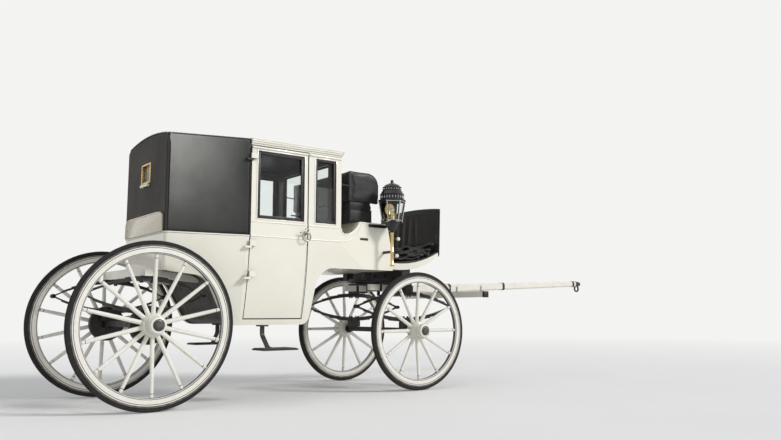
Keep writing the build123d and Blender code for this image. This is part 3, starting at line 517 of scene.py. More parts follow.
@dataclass(frozen=True)
class HeadLeather(Finish):
    """Enamelled leather, with painted shade on its back and round its back corners, and a grey at the upper rear of
    its sides that is partly painted sky reflection and partly weathering.
    """

    # painted shade: the leather that looks rearwards is darkened and browned
    back_shade_tone: Point = (0.0185, 0.0135, 0.009)
    # painted shade round the back corners, with part of the corner welt's black
    corner_shade_and_welt_tone: Point = (0.006, 0.006, 0.007)
    corner_shade_and_welt_facing: Pair = (-0.93, -0.30)
    # partly painted sky reflection, partly grey weathering: lighter towards the upper rear of the sides
    reflection_and_bloom_tone: Point = (0.31, 0.305, 0.285)
    reflection_and_bloom_x: Pair = (along(0.76), along(0.20))
    reflection_and_bloom_z: Pair = (1.28, 2.00)

    def marks(self, sheet: Sheet, place: Socket, colour: Socket, rough: Socket) -> tuple[Socket, Socket]:
        """Paints grey on the sides towards the top of the back, partly sky reflection and partly weathering, and
        painted shade on the back itself and round its corners.

        Args:
            sheet: the sheet of the tree.
            place: position in the model.
            colour: the colour so far.
            rough: the roughness so far.

        Returns:
            The colour and the roughness with the marks.
        """
        at, facing = sheet.parts(place), sheet.facing()
        rearward = sheet.span(at[0], self.reflection_and_bloom_x, (0.0, 1.0))
        upward = sheet.span(at[2], self.reflection_and_bloom_z, (0.04, 0.92))
        cloud = sheet.span(sheet.noise(place, 3.0, 4.0), (0.3, 0.7), (0.75, 1.2))
        back = sheet.span(facing[0], (-0.45, -0.75), (0.0, 1.0))
        roof = sheet.span(facing[2], (0.70, 0.92), (0.0, 1.0))
        for mask, tone in (
            # painted reflection with some weathering, strongest at the upper rear
            (sheet.sums("MULTIPLY", rearward, upward, cloud), self.reflection_and_bloom_tone),
            # painted shade on the faces that look rearwards
            (back, self.back_shade_tone),
            # painted shade along the corners where the normal turns from side to back
            (sheet.inside(facing[0], self.corner_shade_and_welt_facing), self.corner_shade_and_welt_tone),
        ):
            colour = sheet.blend(mask, colour, tone)
        dull = sheet.sums("ADD", sheet.sums("MULTIPLY", back, 0.15), sheet.sums("MULTIPLY", roof, 0.30))
        return colour, sheet.sums("ADD", rough, dull)


@dataclass(frozen=True)
class Cloth(Finish):
    """A woven cloth: threads in place of grain."""

    def relief(self, sheet: Sheet, place: Socket) -> Socket:
        """Gives the normal of the weave."""
        return sheet.effect("weave", place, *self.grain[:2])[0]


@dataclass(frozen=True)
class Glass:
    """Clear plate glass with a trace of dust and slow waves."""

    name: str
    tone: Point = (0.93, 0.96, 0.95)
    waves: Pair = (5.0, 0.0006)

    def build(self) -> bpy.types.Material:
        """Makes the material.

        Returns:
            The new material, with a plain transmission.
        """
        material, sheet = blank(self.name)
        place = sheet.add("TexCoord").outputs["Object"]
        sheet.shade({
            "Roughness": sheet.span(sheet.noise(place, 60.0, 6.0), (0.4, 0.75), (0.0, 0.06)),
            "Normal": sheet.effect("ripple", place, *self.waves)[0],
            "Base Color": (*self.tone, 1.0), "Transmission Weight": 1.0, "IOR": 1.3,
        })
        return material


def wheel_paint(axle: str, x: float, radius: float) -> LinedPaint:
    """The lined paint of an axle's wheels.

    Args:
        axle: rear or front, for the paint's name.
        x: where the axle stands.
        radius: its wheels' radius.

    Returns:
        The finish.
    """
    return LinedPaint(
        f"lined_{axle}_wheel_paint", (0.82, 0.80, 0.735), (0.74, 0.715, 0.63), (0.22, 0.38), (7.0, 0.5),
        (500.0, 0.0001, 1.0), (0.45, 1.2), slot="wheel_paint", coat=0.3, axle=(x, radius),
    )


PAINT_GRAIN = (600.0, 0.00006, 1.0)
METAL_GRAIN = (350.0, 0.0002, 1.0)
IRON_DUST = (0.15, 0.12, 0.09)


class Look(Enum):
    """Every finish on the carriage: name, two tones, roughness, mottle, grain, dust, ripple and the rest."""

    BODY = CoachPaint(
        "cream_coach_paint", (0.84, 0.815, 0.72), (0.78, 0.745, 0.635), (0.16, 0.26), (2.2, 0.35),
        (700.0, 0.00006, 1.0), (0.22, 1.1), (2.5, 0.003), coat=0.5,
    )
    TRIM = Finish(
        "cream_moulding_paint", (0.87, 0.85, 0.77), (0.80, 0.77, 0.67), (0.18, 0.3), (6.0, 0.4), PAINT_GRAIN,
        (0.1, 1.2), coat=0.4,
    )
    # partly painted shade: the panel's tone is darkened and warmed halfway from the body's cream toward its shaded
    # look
    SHIELD = Finish(
        "tan_shield_paint_with_shade", (0.66, 0.60, 0.475), (0.60, 0.54, 0.42), (0.2, 0.32), (4.0, 0.5), PAINT_GRAIN,
        (0.1, 1.2), coat=0.4,
    )
    REAR_WHEEL = wheel_paint("rear", 0.0, REAR_RADIUS)
    FRONT_WHEEL = wheel_paint("front", FRONT_AXLE, FRONT_RADIUS)
    GEAR = Finish(
        "cream_gear_paint", (0.81, 0.79, 0.72), (0.72, 0.69, 0.60), (0.25, 0.42), (8.0, 0.6),
        (450.0, 0.00012, 1.0), (0.4, 1.2), coat=0.2,
    )
    TYRE = Finish(
        "worn_solid_rubber", (0.010, 0.010, 0.011), (0.023, 0.022, 0.021), (0.62, 0.85), (14.0, 0.8),
        (260.0, 0.0009, 0.7), (0.34, 1.4), slot="tyre_rubber", dust_tone=(0.13, 0.11, 0.09), specular=0.2,
    )
    HEAD = HeadLeather(
        "enamelled_head_leather", (0.012, 0.012, 0.013), (0.022, 0.022, 0.022), (0.36, 0.50), (3.0, 0.5),
        (420.0, 0.0005, 0.35), (0.05, 3.0), (3.2, 0.008), "head_leather", specular=0.25,
    )
    SEAT = Finish(
        "black_seat_leather", (0.011, 0.0115, 0.013), (0.022, 0.022, 0.024), (0.34, 0.5), (7.0, 0.8),
        (480.0, 0.0006, 0.3), (0.05, 3.0), (7.0, 0.006), "seat_leather", specular=0.3,
    )
    DASH = Finish(
        "folded_dash_leather", (0.012, 0.010, 0.008), (0.026, 0.021, 0.017), (0.38, 0.56), (5.0, 0.6),
        (430.0, 0.0006, 0.35), (0.05, 3.0), (4.0, 0.008), "head_leather", specular=0.25,
    )
    CLOTH = Cloth(
        "brown_cabin_cloth", (0.105, 0.066, 0.042), (0.060, 0.038, 0.026), (0.8, 0.95), (9.0, 0.6),
        (420.0, 0.0009, 0.5), (0.0, 1.2), slot="interior_cloth", sheen=0.5, specular=0.2,
    )
    # partly painted shade: the boards are darkened to stand for the shade under the body
    WOOD = Finish(
        "shade_darkened_cabin_boards", (0.034, 0.024, 0.018), (0.018, 0.013, 0.010), (0.42, 0.6), (14.0, 1.0),
        (160.0, 0.0005, 1.0), (0.2, 1.5), stretch=(0.25, 3.0, 1.0),
    )
    LINING = Cloth(
        "dark_lining_cloth", (0.045, 0.034, 0.027), (0.028, 0.021, 0.017), (0.85, 0.97), (6.0, 0.5),
        (420.0, 0.0007, 0.5), (0.0, 1.2), slot="interior_cloth", sheen=0.3, specular=0.2,
    )
    IRON = Finish(
        "black_painted_iron", (0.010, 0.010, 0.011), (0.026, 0.023, 0.020), (0.34, 0.58), (11.0, 0.8),
        (260.0, 0.0005, 0.8), (0.3, 1.4), slot="black_iron", dust_tone=IRON_DUST, specular=0.35,
    )
    LAMP_BLACK = Finish(
        "black_lamp_enamel", (0.012, 0.012, 0.014), (0.022, 0.022, 0.026), (0.12, 0.24), (9.0, 0.5),
        (400.0, 0.0001, 1.0), (0.04, 1.2), slot="black_iron", coat=0.15, specular=0.35,
    )
    HUB = Finish(
        "dark_hub_metal", (0.055, 0.057, 0.055), (0.10, 0.10, 0.095), (0.3, 0.5), (22.0, 0.9),
        (300.0, 0.0004, 0.8), (0.3, 1.2), slot="hub_metal", metallic=0.6,
    )
    STEEL = Finish(
        "bare_rim_steel", (0.17, 0.165, 0.16), (0.09, 0.08, 0.07), (0.35, 0.6), (20.0, 0.9),
        (260.0, 0.0004, 0.8), (0.3, 1.2), slot="hub_metal", metallic=0.85,
    )
    BRASS = Finish(
        "polished_brass", (0.74, 0.56, 0.26), (0.56, 0.40, 0.17), (0.16, 0.34), (16.0, 0.8), METAL_GRAIN,
        (0.05, 1.2), slot="brass_fittings", metallic=1.0,
    )
    SILVER = Finish(
        "silvered_lamp_rims", (0.74, 0.73, 0.70), (0.55, 0.53, 0.48), (0.14, 0.3), (18.0, 0.8), METAL_GRAIN,
        (0.05, 1.2), slot="brass_fittings", metallic=1.0,
    )
    NICKEL = Finish(
        "aged_nickel", (0.46, 0.44, 0.39), (0.24, 0.225, 0.19), (0.18, 0.36), (22.0, 0.9), METAL_GRAIN,
        (0.05, 1.2), slot="brass_fittings", metallic=1.0,
    )
    MAT = Finish(
        "ribbed_toe_rubber", (0.016, 0.016, 0.017), (0.036, 0.036, 0.037), (0.5, 0.72), (12.0, 0.8),
        (260.0, 0.0006, 0.8), (0.6, 3.0), slot="mat_rubber", dust_tone=(0.14, 0.125, 0.105),
    )
    CANDLE = Finish(
        "candle_wax", (0.86, 0.82, 0.68), (0.78, 0.72, 0.56), (0.4, 0.55), (30.0, 0.5), dust=(0.0, 1.2),
        slot="brass_fittings",
    )
    GLASS = Glass("clear_plate_glass")

    def material(self) -> bpy.types.Material:
        """The finish's material, built at its first use."""
        return bpy.data.materials.get(self.value.name) or self.value.build()


def dress(look: Look, *nodes: str) -> None:
    """Gives CAD nodes that stay their finish.

    Args:
        look: the finish.
        nodes: the names of the nodes.
    """
    for node in nodes:
        materials = bpy.data.objects[node].data.materials
        materials.clear()
        materials.append(look.material())


# ---------------------------------------------------------------- shapes


class Shape:
    """A mesh in the making, shaped by bmesh operators, with X counted from the rear axle."""

    def __init__(self) -> None:
        """Starts an empty mesh."""
        self.bm = bmesh.new()

    def _placed(self, verts: list, matrix: Matrix) -> list:
        """Moves new vertices by a matrix and gives them back."""
        bmesh.ops.transform(self.bm, matrix=matrix, verts=verts)
        return verts

    def take(self, node: str) -> None:
        """Copies a CAD node, with its vertices merged."""
        self.bm.from_mesh(bpy.data.objects[node].data)
        bmesh.ops.remove_doubles(self.bm, verts=self.bm.verts, dist=MERGE)

    def keep(self, test: Callable[[Vector], bool]) -> None:
        """Deletes each vertex whose position in the model fails a test."""
        bmesh.ops.delete(self.bm, geom=[v for v in self.bm.verts if not test(v.co)], context="VERTS")

    def block(self, low: Point, high: Point, bevel: float = 0.0, steps: int = 2) -> list:
        """Adds a block between two corners.

        Args:
            low: one corner.
            high: the opposite corner.
            bevel: width of its rounded edges.
            steps: facets in each rounded edge.

        Returns:
            The block's vertices.
        """
        first, last = (spot(corner) for corner in zip(*(sorted(pair) for pair in zip(low, high))))
        verts = bmesh.ops.create_cube(self.bm, size=1.0)["verts"]
        self._placed(verts, Matrix.Translation((last + first) / 2) @ Matrix.Diagonal((*(last - first), 1.0)))
        return self.round_edges(verts, bevel, steps) if bevel else verts

    def round_edges(self, verts: list, width: float, steps: int) -> list:
        """Rounds every edge among some vertices.

        Args:
            verts: the vertices.
            width: width of the rounding.
            steps: facets in each rounded edge.

        Returns:
            The vertices that result.
        """
        edges = list(dict.fromkeys(e for v in verts for e in v.link_edges))
        made = bmesh.ops.bevel(
            self.bm, geom=edges, offset=width, segments=steps, profile=0.5, affect="EDGES", material=-1,
            clamp_overlap=True,
        )
        rounded = (v for f in made["faces"] for v in f.verts)
        return list(dict.fromkeys([*rounded, *(v for v in verts if v.is_valid)]))

    def rod(self, start: Point, end: Point, radius: float, tip: Optional[float] = None, sides: int = 16) -> list:
        """Adds a round bar or a cone between two points.

        Args:
            start: the first point.
            end: the last point.
            radius: radius at the start.
            tip: radius at the end, where it differs.
            sides: corners of the section.

        Returns:
            Its vertices.
        """
        first, last = spot(start), spot(end)
        run = last - first
        verts = bmesh.ops.create_cone(
            self.bm, cap_ends=True, segments=sides, radius1=radius, radius2=radius if tip is None else tip,
            depth=run.length,
        )["verts"]
        turn = run.to_track_quat("Z", "Y").to_matrix().to_4x4()
        return self._placed(verts, Matrix.Translation((first + last) / 2) @ turn)

    def ball(self, centre: Point, radius: float, scale: Point = (1.0, 1.0, 1.0), steps: int = 12) -> list:
        """Adds a ball, stretched by a scale."""
        verts = bmesh.ops.create_uvsphere(self.bm, u_segments=2 * steps, v_segments=steps, radius=radius)["verts"]
        return self._placed(verts, Matrix.Translation(spot(centre)) @ Matrix.Diagonal((*scale, 1.0)))

    def turned(
        self, centre: Point, axis: Point, side: Point, profile: Sequence[Pair], steps: int, loop: bool = False
    ) -> None:
        """Turns a profile round an axis.

        Args:
            centre: a point on the axis.
            axis: the axis, of length 1.
            side: a direction across it, in which radii are given.
            profile: distances along the axis and radii.
            steps: copies round the full turn.
            loop: whether the profile closes on itself.
        """
        before = set(self.bm.verts)
        points = [spot(centre) + Vector(axis) * far + Vector(side) * radius for far, radius in profile]
        verts = [self.bm.verts.new(p) for p in points]
        pairs = list(zip(verts, verts[1:])) + ([(verts[-1], verts[0])] if loop else [])
        edges = [self.bm.edges.new(pair) for pair in pairs]
        bmesh.ops.spin(
            self.bm, geom=verts + edges, cent=spot(centre), axis=axis, angle=2 * math.pi, steps=steps,
            use_merge=True, use_duplicate=False,
        )
        bmesh.ops.remove_doubles(self.bm, verts=[v for v in self.bm.verts if v not in before], dist=MERGE)

    def sweep(
        self, path: Sequence[Point], radius: float, sides: int = 8, loop: bool = False, flat: Pair = (1.0, 1.0)
    ) -> None:
        """Runs a round or flattened section along a path.

        Args:
            path: the points that it follows.
            radius: the section's radius.
            sides: corners of the section.
            loop: whether the path closes on itself.
            flat: shares of the radius across and along the section's upright.
        """
        points = [spot(p) for p in path]
        count = len(points)
        rings = []
        for number, point in enumerate(points):
            ahead = points[(number + 1) % count] if loop else points[min(number + 1, count - 1)]
            back = points[number - 1] if loop or number else point
            run = (ahead - point).normalized() + (point - back).normalized()
            turn = run.to_track_quat("Z", "Y").to_matrix().to_4x4() @ Matrix.Diagonal((*flat, 1.0, 1.0))
            ring = bmesh.ops.create_circle(self.bm, segments=sides, radius=radius)["verts"]
            rings.append(self._placed(ring, Matrix.Translation(point) @ turn))
        for pair in list(zip(rings, rings[1:])) + ([(rings[-1], rings[0])] if loop else []):
            near = dict.fromkeys((e, n) for n in (0, 1) for v in pair[n] for e in v.link_edges)
            edges = [e for e, n in near if all(v in pair[n] for v in e.verts)]
            bmesh.ops.bridge_loops(self.bm, edges=edges)
        for ring in () if loop else (rings[0], rings[-1]):
            bmesh.ops.contextual_create(self.bm, geom=ring)

    def plate(self, outline: Sequence[Point], thick: Point, bevel: float = 0.0) -> None:
        """Adds a flat plate from its outline, thickened along a vector.

        Args:
            outline: the outline's points.
            thick: the vector.
            bevel: width of its rounded edges.
        """
        verts = [self.bm.verts.new(spot(p)) for p in outline]
        made = bmesh.ops.extrude_face_region(self.bm, geom=[self.bm.faces.new(verts)])["geom"]
        upper = [v for v in made if isinstance(v, bmesh.types.BMVert)]
        bmesh.ops.translate(self.bm, verts=upper, vec=thick)
        if bevel:
            self.round_edges(verts + upper, bevel, 2)

    def both_sides(self) -> None:
        """Copies everything to the other side of the carriage."""
        geom = [*self.bm.verts, *self.bm.edges, *self.bm.faces]
        made = bmesh.ops.duplicate(self.bm, geom=geom)["geom"]
        verts = [v for v in made if isinstance(v, bmesh.types.BMVert)]
        bmesh.ops.scale(self.bm, vec=(1.0, -1.0, 1.0), verts=verts)

    def mesh(self, name: str) -> Mesh:
        """Ends the work.

        Args:
            name: the mesh's name.

        Returns:
            The mesh.
        """
        mesh = bpy.data.meshes.new(name)
        self.bm.to_mesh(mesh)
        self.bm.free()
        return mesh


def show(name: str, data: Optional[bpy.types.ID]) -> Thing:
    """Makes an object of some data and links it to the scene.

    Args:
        name: the object's name.
        data: its mesh, camera or light.

    Returns:
        The object.
    """
    thing = bpy.data.objects.new(name, data)
    bpy.context.scene.collection.objects.link(thing)
    return thing


def seat(mesh: Mesh, name: str, look: Look, body: str = BODY, smooth: float = 40.0) -> Thing:
    """Puts a mesh into the scene on its body, with its finish and soft shading.

    Args:
        mesh: the piece's mesh.
        name: the piece's name.
        look: its finish.
        body: the CAD body that it rides on.
        smooth: angle in degrees above which an edge stays sharp.

    Returns:
        The piece.
    """
    piece = show(name, mesh)
    mesh.materials.clear()
    mesh.materials.append(look.material())
    mesh.shade_smooth()
    mesh.set_sharp_from_angle(angle=math.radians(smooth))
    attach(piece, body)
    LOG.info("%s: %d faces on %s", name, len(mesh.polygons), body)
    return piece


@contextmanager
def making(
    name: str, look: Look, body: str = BODY, *, slot: str = "", smooth: float = 40.0, twin: bool = False,
    outward: bool = True, instead: str = "",
) -> Iterator[Shape]:
    """Gives a shape to fill and then seats it as a piece.

    Args:
        name: the piece's name.
        look: its finish.
        body: the CAD body that it rides on.
        slot: the record's material slot, where it isn't the finish's own; not used.
        smooth: angle in degrees above which an edge stays sharp.
        twin: whether the other side of the carriage has it too.
        outward: whether its faces are turned outwards first.
        instead: the CAD node that it replaces, if any.

    Yields:
        The shape to fill.
    """
    shape = Shape()
    yield shape
    if twin:
        shape.both_sides()
    if outward:
        bmesh.ops.recalc_face_normals(shape.bm, faces=shape.bm.faces)
    piece = seat(shape.mesh(name), name, look, body, smooth)
    if instead:
        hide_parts(instead)


def settle(path: Sequence[Point], piece: Thing) -> list[Point]:
    """Moves each point of a path to the nearest point of a piece's surface.

    Args:
        path: the points.
        piece: what they come to lie on.

    Returns:
        The moved points.
    """
    bm = bmesh.new()
    bm.from_mesh(piece.data)
    tree = BVHTree.FromBMesh(bm)
    bm.free()
    found = [tree.find_nearest(spot(point))[0] for point in path]
    return [(x - REAR_AXLE_X, y, z) for x, y, z in found]


# ---------------------------------------------------------------- soft goods


def bake(holder: Thing, kind: str, **options: object) -> None:
    """Adds one modifier and keeps its result as the mesh.

    Args:
        holder: the object that it works on.
        kind: the modifier's type.
        options: attributes set on the modifier.
    """
    modifier = holder.modifiers.new(kind, kind)
    for name, value in options.items():
        setattr(modifier, name, value)
    keep_result(holder)


def keep_result(holder: Thing) -> None:
    """Keeps what an object's modifiers make as its mesh.

    Args:
        holder: the object.
    """
    graph = bpy.context.evaluated_depsgraph_get()
    result = bpy.data.meshes.new_from_object(holder.evaluated_get(graph))
    holder.modifiers.clear()
    holder.data = result


@contextmanager
def bench(name: str, mesh: Mesh) -> Iterator[Thing]:
    """Holds a mesh as an object while modifiers work on it.

    Args:
        name: the piece's name.
        mesh: the mesh to work on.

    Yields:
        The object.
    """
    holder = show(name + "_work", mesh)
    yield holder
    bpy.data.objects.remove(holder)


@dataclass
class Padding:
    """A stuffed piece: a CAD solid's copy, swollen by a cloth simulation."""

    node: str
    name: str
    look: Look
    voxel: float = 0.013
    pressure: float = 4.0
    shrink: float = 0.006
    cap: float = 0.014
    frames: int = 20
    fill: float = 0.6

    def build(self, shape_after: Optional[Callable[[Mesh], None]] = None) -> Thing:
        """Swells the copy, shapes it further and seats it.

        Args:
            shape_after: what sews channels or buttons into the finished mesh.

        Returns:
            The padded piece, which stands for its CAD node.
        """
        with bench(self.name, self._copy()) as holder:
            bake(holder, "REMESH", mode="VOXEL", voxel_size=self.voxel)
            self._swell(holder)
            bake(holder, "SMOOTH", factor=0.5, iterations=4)
            bake(holder, "SUBSURF", levels=1, render_levels=1)
            mesh = holder.data
            if shape_after:
                shape_after(mesh)
        piece = seat(mesh, self.name, self.look, smooth=80.0)
        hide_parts(self.node)
        return piece

    def _copy(self) -> Mesh:
        """Copies the CAD solid, merged and slightly smaller.

        Returns:
            The copy.
        """
        shape = Shape()
        shape.take(self.node)
        bmesh.ops.recalc_face_normals(shape.bm, faces=shape.bm.faces)
        shape.bm.normal_update()
        for vert in shape.bm.verts:
            vert.co -= vert.normal * self.shrink
        return shape.mesh(self.name)

    def _swell(self, holder: Thing) -> None:
        """Runs the cloth with pressure and no gravity, and caps how far a point moves.

        Args:
            holder: the object that holds the mesh.
        """
        scene = bpy.context.scene
        rest = [v.co.copy() for v in holder.data.vertices]
        cloth = holder.modifiers.new("CLOTH", "CLOTH")
        cloth.settings.use_pressure = True
        cloth.settings.uniform_pressure_force = self.pressure
        cloth.settings.effector_weights.gravity = 0.0
        cloth.settings.quality = 5
        cloth.point_cache.frame_start, cloth.point_cache.frame_end = 1, self.frames
        for frame in range(1, self.frames + 1):
            scene.frame_set(frame)
        keep_result(holder)
        scene.frame_set(1)
        for vert, start in zip(holder.data.vertices, rest):
            move = vert.co - start
            if move.length > self.cap:
                vert.co = start + move.normalized() * self.cap


# ---------------------------------------------------------------- the carriage


def frame_around(shape: Shape, xs: Pair, y: float, zs: Pair, width: float, deep: float, bevel: float) -> None:
    """Adds four bars round an opening, inside its edges when the width is negative.

    Args:
        shape: the shape that they are added to.
        xs: the opening's rear and front edges.
        y: where the bars' one face lies across.
        zs: the opening's lower and upper edges.
        width: the bars' width.
        deep: their depth across, with its sign.
        bevel: width of their rounded edges.
    """
    (x0, x1), (z0, z1) = xs, zs
    out, inn = max(width, 0.0), max(-width, 0.0)
    for rear, front, low, high in (
        (x0 - out, x0 + inn, z0 - out, z1 + out),
        (x1 - inn, x1 + out, z0 - out, z1 + out),
        (x0 + inn, x1 - inn, z0 - out, z0 + inn),
        (x0 + inn, x1 - inn, z1 - inn, z1 + out),
    ):
        shape.block((rear, y, low), (front, y + deep, high), bevel)


@dataclass
class Cabin:
    """The closed body: beads, window frames, head fittings and lining."""

    bead: float = 0.0055
    belt_z: float = 1.287
    waist_z: float = 1.402
    door: Pair = (0.757, 1.280)
    door_window: Pair = (0.815, 1.243)
    quarter_window: Pair = (1.352, 1.556)
    window_z: Pair = (1.430, 1.975)
    drip_z: Pair = (1.992, 2.004)
    frame_width: float = 0.027
    sash_y: float = 0.5445
    sash_deep: float = 0.0145
    skin: float = 0.0005
    hinge_ends: tuple[Pair, ...] = ((0.9467, 1.0067), (1.1897, 1.2497), (1.8867, 1.9467))

    def build(self) -> None:
        """Adds every fine piece of the cabin."""
        self.paint_nodes()
        self.belt()
        for side, sign in SIDES:
            self.door_trim(side, sign)
        self.hinges()
        self.quarter_trim()
        self.cornice_lines()
        self.head_piping()
        self.rear_window()
        self.back_shield()
        self.lining()

    def paint_nodes(self) -> None:
        """Dresses the CAD panels that stay."""
        dress(Look.BODY, "back_panel", "quarter_panels", "rockers", "front_quarters", "front_wall", "cornice")
        dress(Look.BODY, "boot", "toe_board", "door_right", "door_left")
        dress(Look.GEAR, "rear_irons")
        dress(Look.GLASS, "fixed_glass", "door_glass_right", "door_glass_left", "lamp_glass")
        dress(Look.HEAD, "leather_head", "roof")
        dress(Look.WOOD, "floor", "bench")

    def corner(self, z: float, out: float, steps: int = 6) -> list[Point]:
        """Points round the right back corner at one height, a little outside it."""
        x, y = BODY_REAR + CORNER, CORNER - half_at(BODY_REAR + CORNER)
        return [(cx, cy, z) for cx, cy in arc((x, y), CORNER + out, 270, 180, steps)]

    def side_y(self, z: float) -> float:
        """Half the cabin's width at a height, forward of the taper."""
        return arc_height(((0.56, 0.437), (1.0, 0.522), (1.28, 0.550)), min(z, BELT_Z), upper=True)

    def belt(self) -> None:
        """The bead under the head, and the one that runs on along the boot's swoop."""
        with making("belt_bead_rear", Look.TRIM, twin=True) as shape:
            side = [(x, -half_at(x) - self.skin, self.belt_z) for x in (0.751, TAPER_FRONT, 0.140)]
            back = (BODY_REAR - self.skin, 0.0, self.belt_z)
            shape.sweep([*side, *self.corner(self.belt_z, self.skin)[1:], back], self.bead)
        swoop = [
            (1.288, 1.287), (1.580, 1.287), (1.640, 1.290), (1.700, 1.304), (1.750, 1.330), (1.790, 1.368),
            (1.820, 1.412), (1.838, 1.466),
        ]
        rise = [(1.700, 1.363), (1.740, 1.384), (1.775, 1.415), (1.800, 1.445), (1.816, 1.475)]
        edge = [(1.617, 1.400), *arc((1.658, 1.405), 0.048, 180, 270, 6), *rise]
        top = [(x, BOOT_TOP_Z) for x in (1.84, 1.95, 2.05, 2.13)]
        with making("swoop_beads", Look.TRIM, twin=True) as shape:
            for path, out, drop, radius in (
                (swoop, self.skin, 0.0, self.bead), (edge, -0.002, 0.006, 0.008), (top, self.skin, 0.008, 0.006)
            ):
                shape.sweep([(x, -boot_half(x) - out, z - drop) for x, z in path], radius)
        with making("boot_latch_slots", Look.IRON, twin=True) as shape:
            shape.block((1.816, -0.5345, 1.314), (1.907, -0.5275, 1.335), 0.003)

    def door_trim(self, side: str, sign: int) -> None:
        """Beads, the black window frame and the handle of one door.

        Args:
            side: right or left.
            sign: -1 on the right and 1 on the left.
        """
        body = f"door_{side}_body"
        y = sign * (HALF_WIDTH + self.skin)
        low, high = self.door
        with making(f"door_beads_{side}", Look.TRIM, body) as shape:
            for z in (self.belt_z, self.waist_z):
                shape.sweep([(low + 0.006, y, z), (high - 0.002, y, z)], self.bead * 0.9)
            frame_around(shape, self.door_window, y, self.window_z, 0.010, sign * 0.004, 0.0018)
            shape.block((low + 0.004, y, self.drip_z[0]), (high - 0.004, y + sign * 0.012, self.drip_z[1]), 0.003)
        with making(f"door_binding_{side}", Look.SEAT, body) as shape:
            levels = (0.642, 0.72, 0.80, 0.88, 0.96, 1.04, 1.12, 1.20, 1.28, 2.008)
            upright = [(sign * (self.side_y(z) - 0.0006), z) for z in levels]
            path = [(low + 0.0022, *point) for point in reversed(upright)]
            shape.sweep(path + [(high - 0.0022, *point) for point in upright], 0.0022, 6)
        with making(f"door_sash_{side}", Look.IRON, body) as shape:
            depth = -sign * self.sash_deep
            frame_around(shape, self.door_window, sign * self.sash_y, self.window_z, -self.frame_width, depth, 0.002)
        self.handle(side, sign, body)

    def hinges(self) -> None:
        """The hinges' fixed halves, painted over with the body or the head, with ball tips on their pins."""
        for name, look, ends, upper in (
            ("hinge_knuckles", Look.TRIM, self.hinge_ends[:2], False),
            ("head_hinge_knuckles", Look.IRON, self.hinge_ends[2:], True),
        ):
            with making(name, look, smooth=35.0, instead="hinge_pins") as shape:
                shape.take("hinge_pins")
                shape.keep(lambda at: (at.z > 1.5) == upper)
                for low, high in ends:
                    for _, sign in SIDES:
                        shape.ball((0.7535, sign * 0.565, low), 0.0088, (1.0, 1.0, 0.7), 8)
                        shape.ball((0.7535, sign * 0.565, high), 0.0062, (1.0, 1.0, 0.8), 8)

    def handle(self, side: str, sign: int, body: str) -> None:
        """A ring handle on a round rose, with its lever and keeper.

        Args:
            side: right or left.
            sign: -1 on the right and 1 on the left.
            body: the door's CAD body.
        """

        def at(x: float, out: float, z: float) -> Point:
            """A point by its offset from the rose's middle."""
            return (1.254 + x, sign * (HALF_WIDTH + out), 1.335 + z)

        rose = [
            (-0.001, 0.0), (-0.001, 0.019), (0.002, 0.019), (0.005, 0.015), (0.007, 0.009), (0.029, 0.007),
            (0.032, 0.010), (0.037, 0.010), (0.040, 0.0),
        ]
        ring = [at(0.038 * math.cos(t) - 0.004, 0.036, 0.036 * math.sin(t) - 0.030) for t in turns(36)]
        keeper = [(-0.002, 0.034, 0.004), (0.016, 0.037, 0.020), (0.010, 0.037, 0.034), (-0.012, 0.036, 0.032)]
        lever, tip = at(0.012, 0.032, 0.001), at(-0.062, 0.032, 0.001)
        with making(f"ring_handle_{side}", Look.NICKEL, body, instead=f"door_handle_{side}") as shape:
            shape.turned(at(0.0, 0.0, 0.0), (0.0, float(sign), 0.0), AHEAD, rose, 28)
            shape.sweep(ring, 0.0056, 10, loop=True)
            shape.sweep([at(*point) for point in keeper], 0.0045, 10)
            shape.ball(at(*keeper[-1]), 0.0062)
            shape.rod(lever, tip, 0.0050, 0.0038, 12)
            shape.ball(tip, 0.0058)

    def quarter_trim(self) -> None:
        """Beads and the black sash of the quarter windows, and the front window's frame."""
        y = -HALF_WIDTH - self.skin
        with making("quarter_beads", Look.TRIM, twin=True) as shape:
            shape.sweep([(1.290, y, self.waist_z), (1.606, y, self.waist_z)], self.bead * 0.9)
            frame_around(shape, self.quarter_window, y, self.window_z, 0.010, -0.004, 0.0018)
            shape.block((1.290, y - 0.012, self.drip_z[0]), (1.612, y, self.drip_z[1]), 0.003)
        with making("fixed_sashes", Look.IRON) as shape:
            width = -self.frame_width * 0.8
            frame_around(shape, self.quarter_window, -self.sash_y, self.window_z, width, self.sash_deep, 0.002)
            shape.both_sides()
            for y0, y1, z0, z1 in (
                (-0.400, -0.382, 1.477, 1.975), (0.382, 0.400, 1.477, 1.975), (-0.010, 0.010, 1.477, 1.975),
                (-0.382, 0.382, 1.477, 1.495), (-0.382, 0.382, 1.957, 1.975),
            ):
                shape.block((1.594, y0, z0), (1.605, y1, z1), 0.002)

    def cornice_lines(self) -> None:
        """A crown moulding along the roof's edge: a cove, a fillet and a drip bead."""
        with making("cornice_mouldings", Look.TRIM) as shape:
            for z, out, radius in (
                (2.0635, 0.0225, 0.0045), (2.0485, 0.0205, 0.0040), (2.0375, 0.0125, 0.0090), (2.0220, 0.0050, 0.0065)
            ):
                x, y = (edge + out - radius * 0.3 for edge in (BODY_FRONT, HALF_WIDTH))
                right = [(0.752, -y, z), (x - 0.012, -y, z), (x - 0.003, 0.003 - y, z), (x, 0.012 - y, z)]
                shape.sweep([*right, (x, 0.0, z), *mirrored(right)], radius)

    def shoulder(self, x: float) -> Point:
        """A point on the seam along the head's right shoulder."""
        return (x, 0.0095 - half_at(x), 2.0375 + 0.0309 * (x - BODY_REAR))

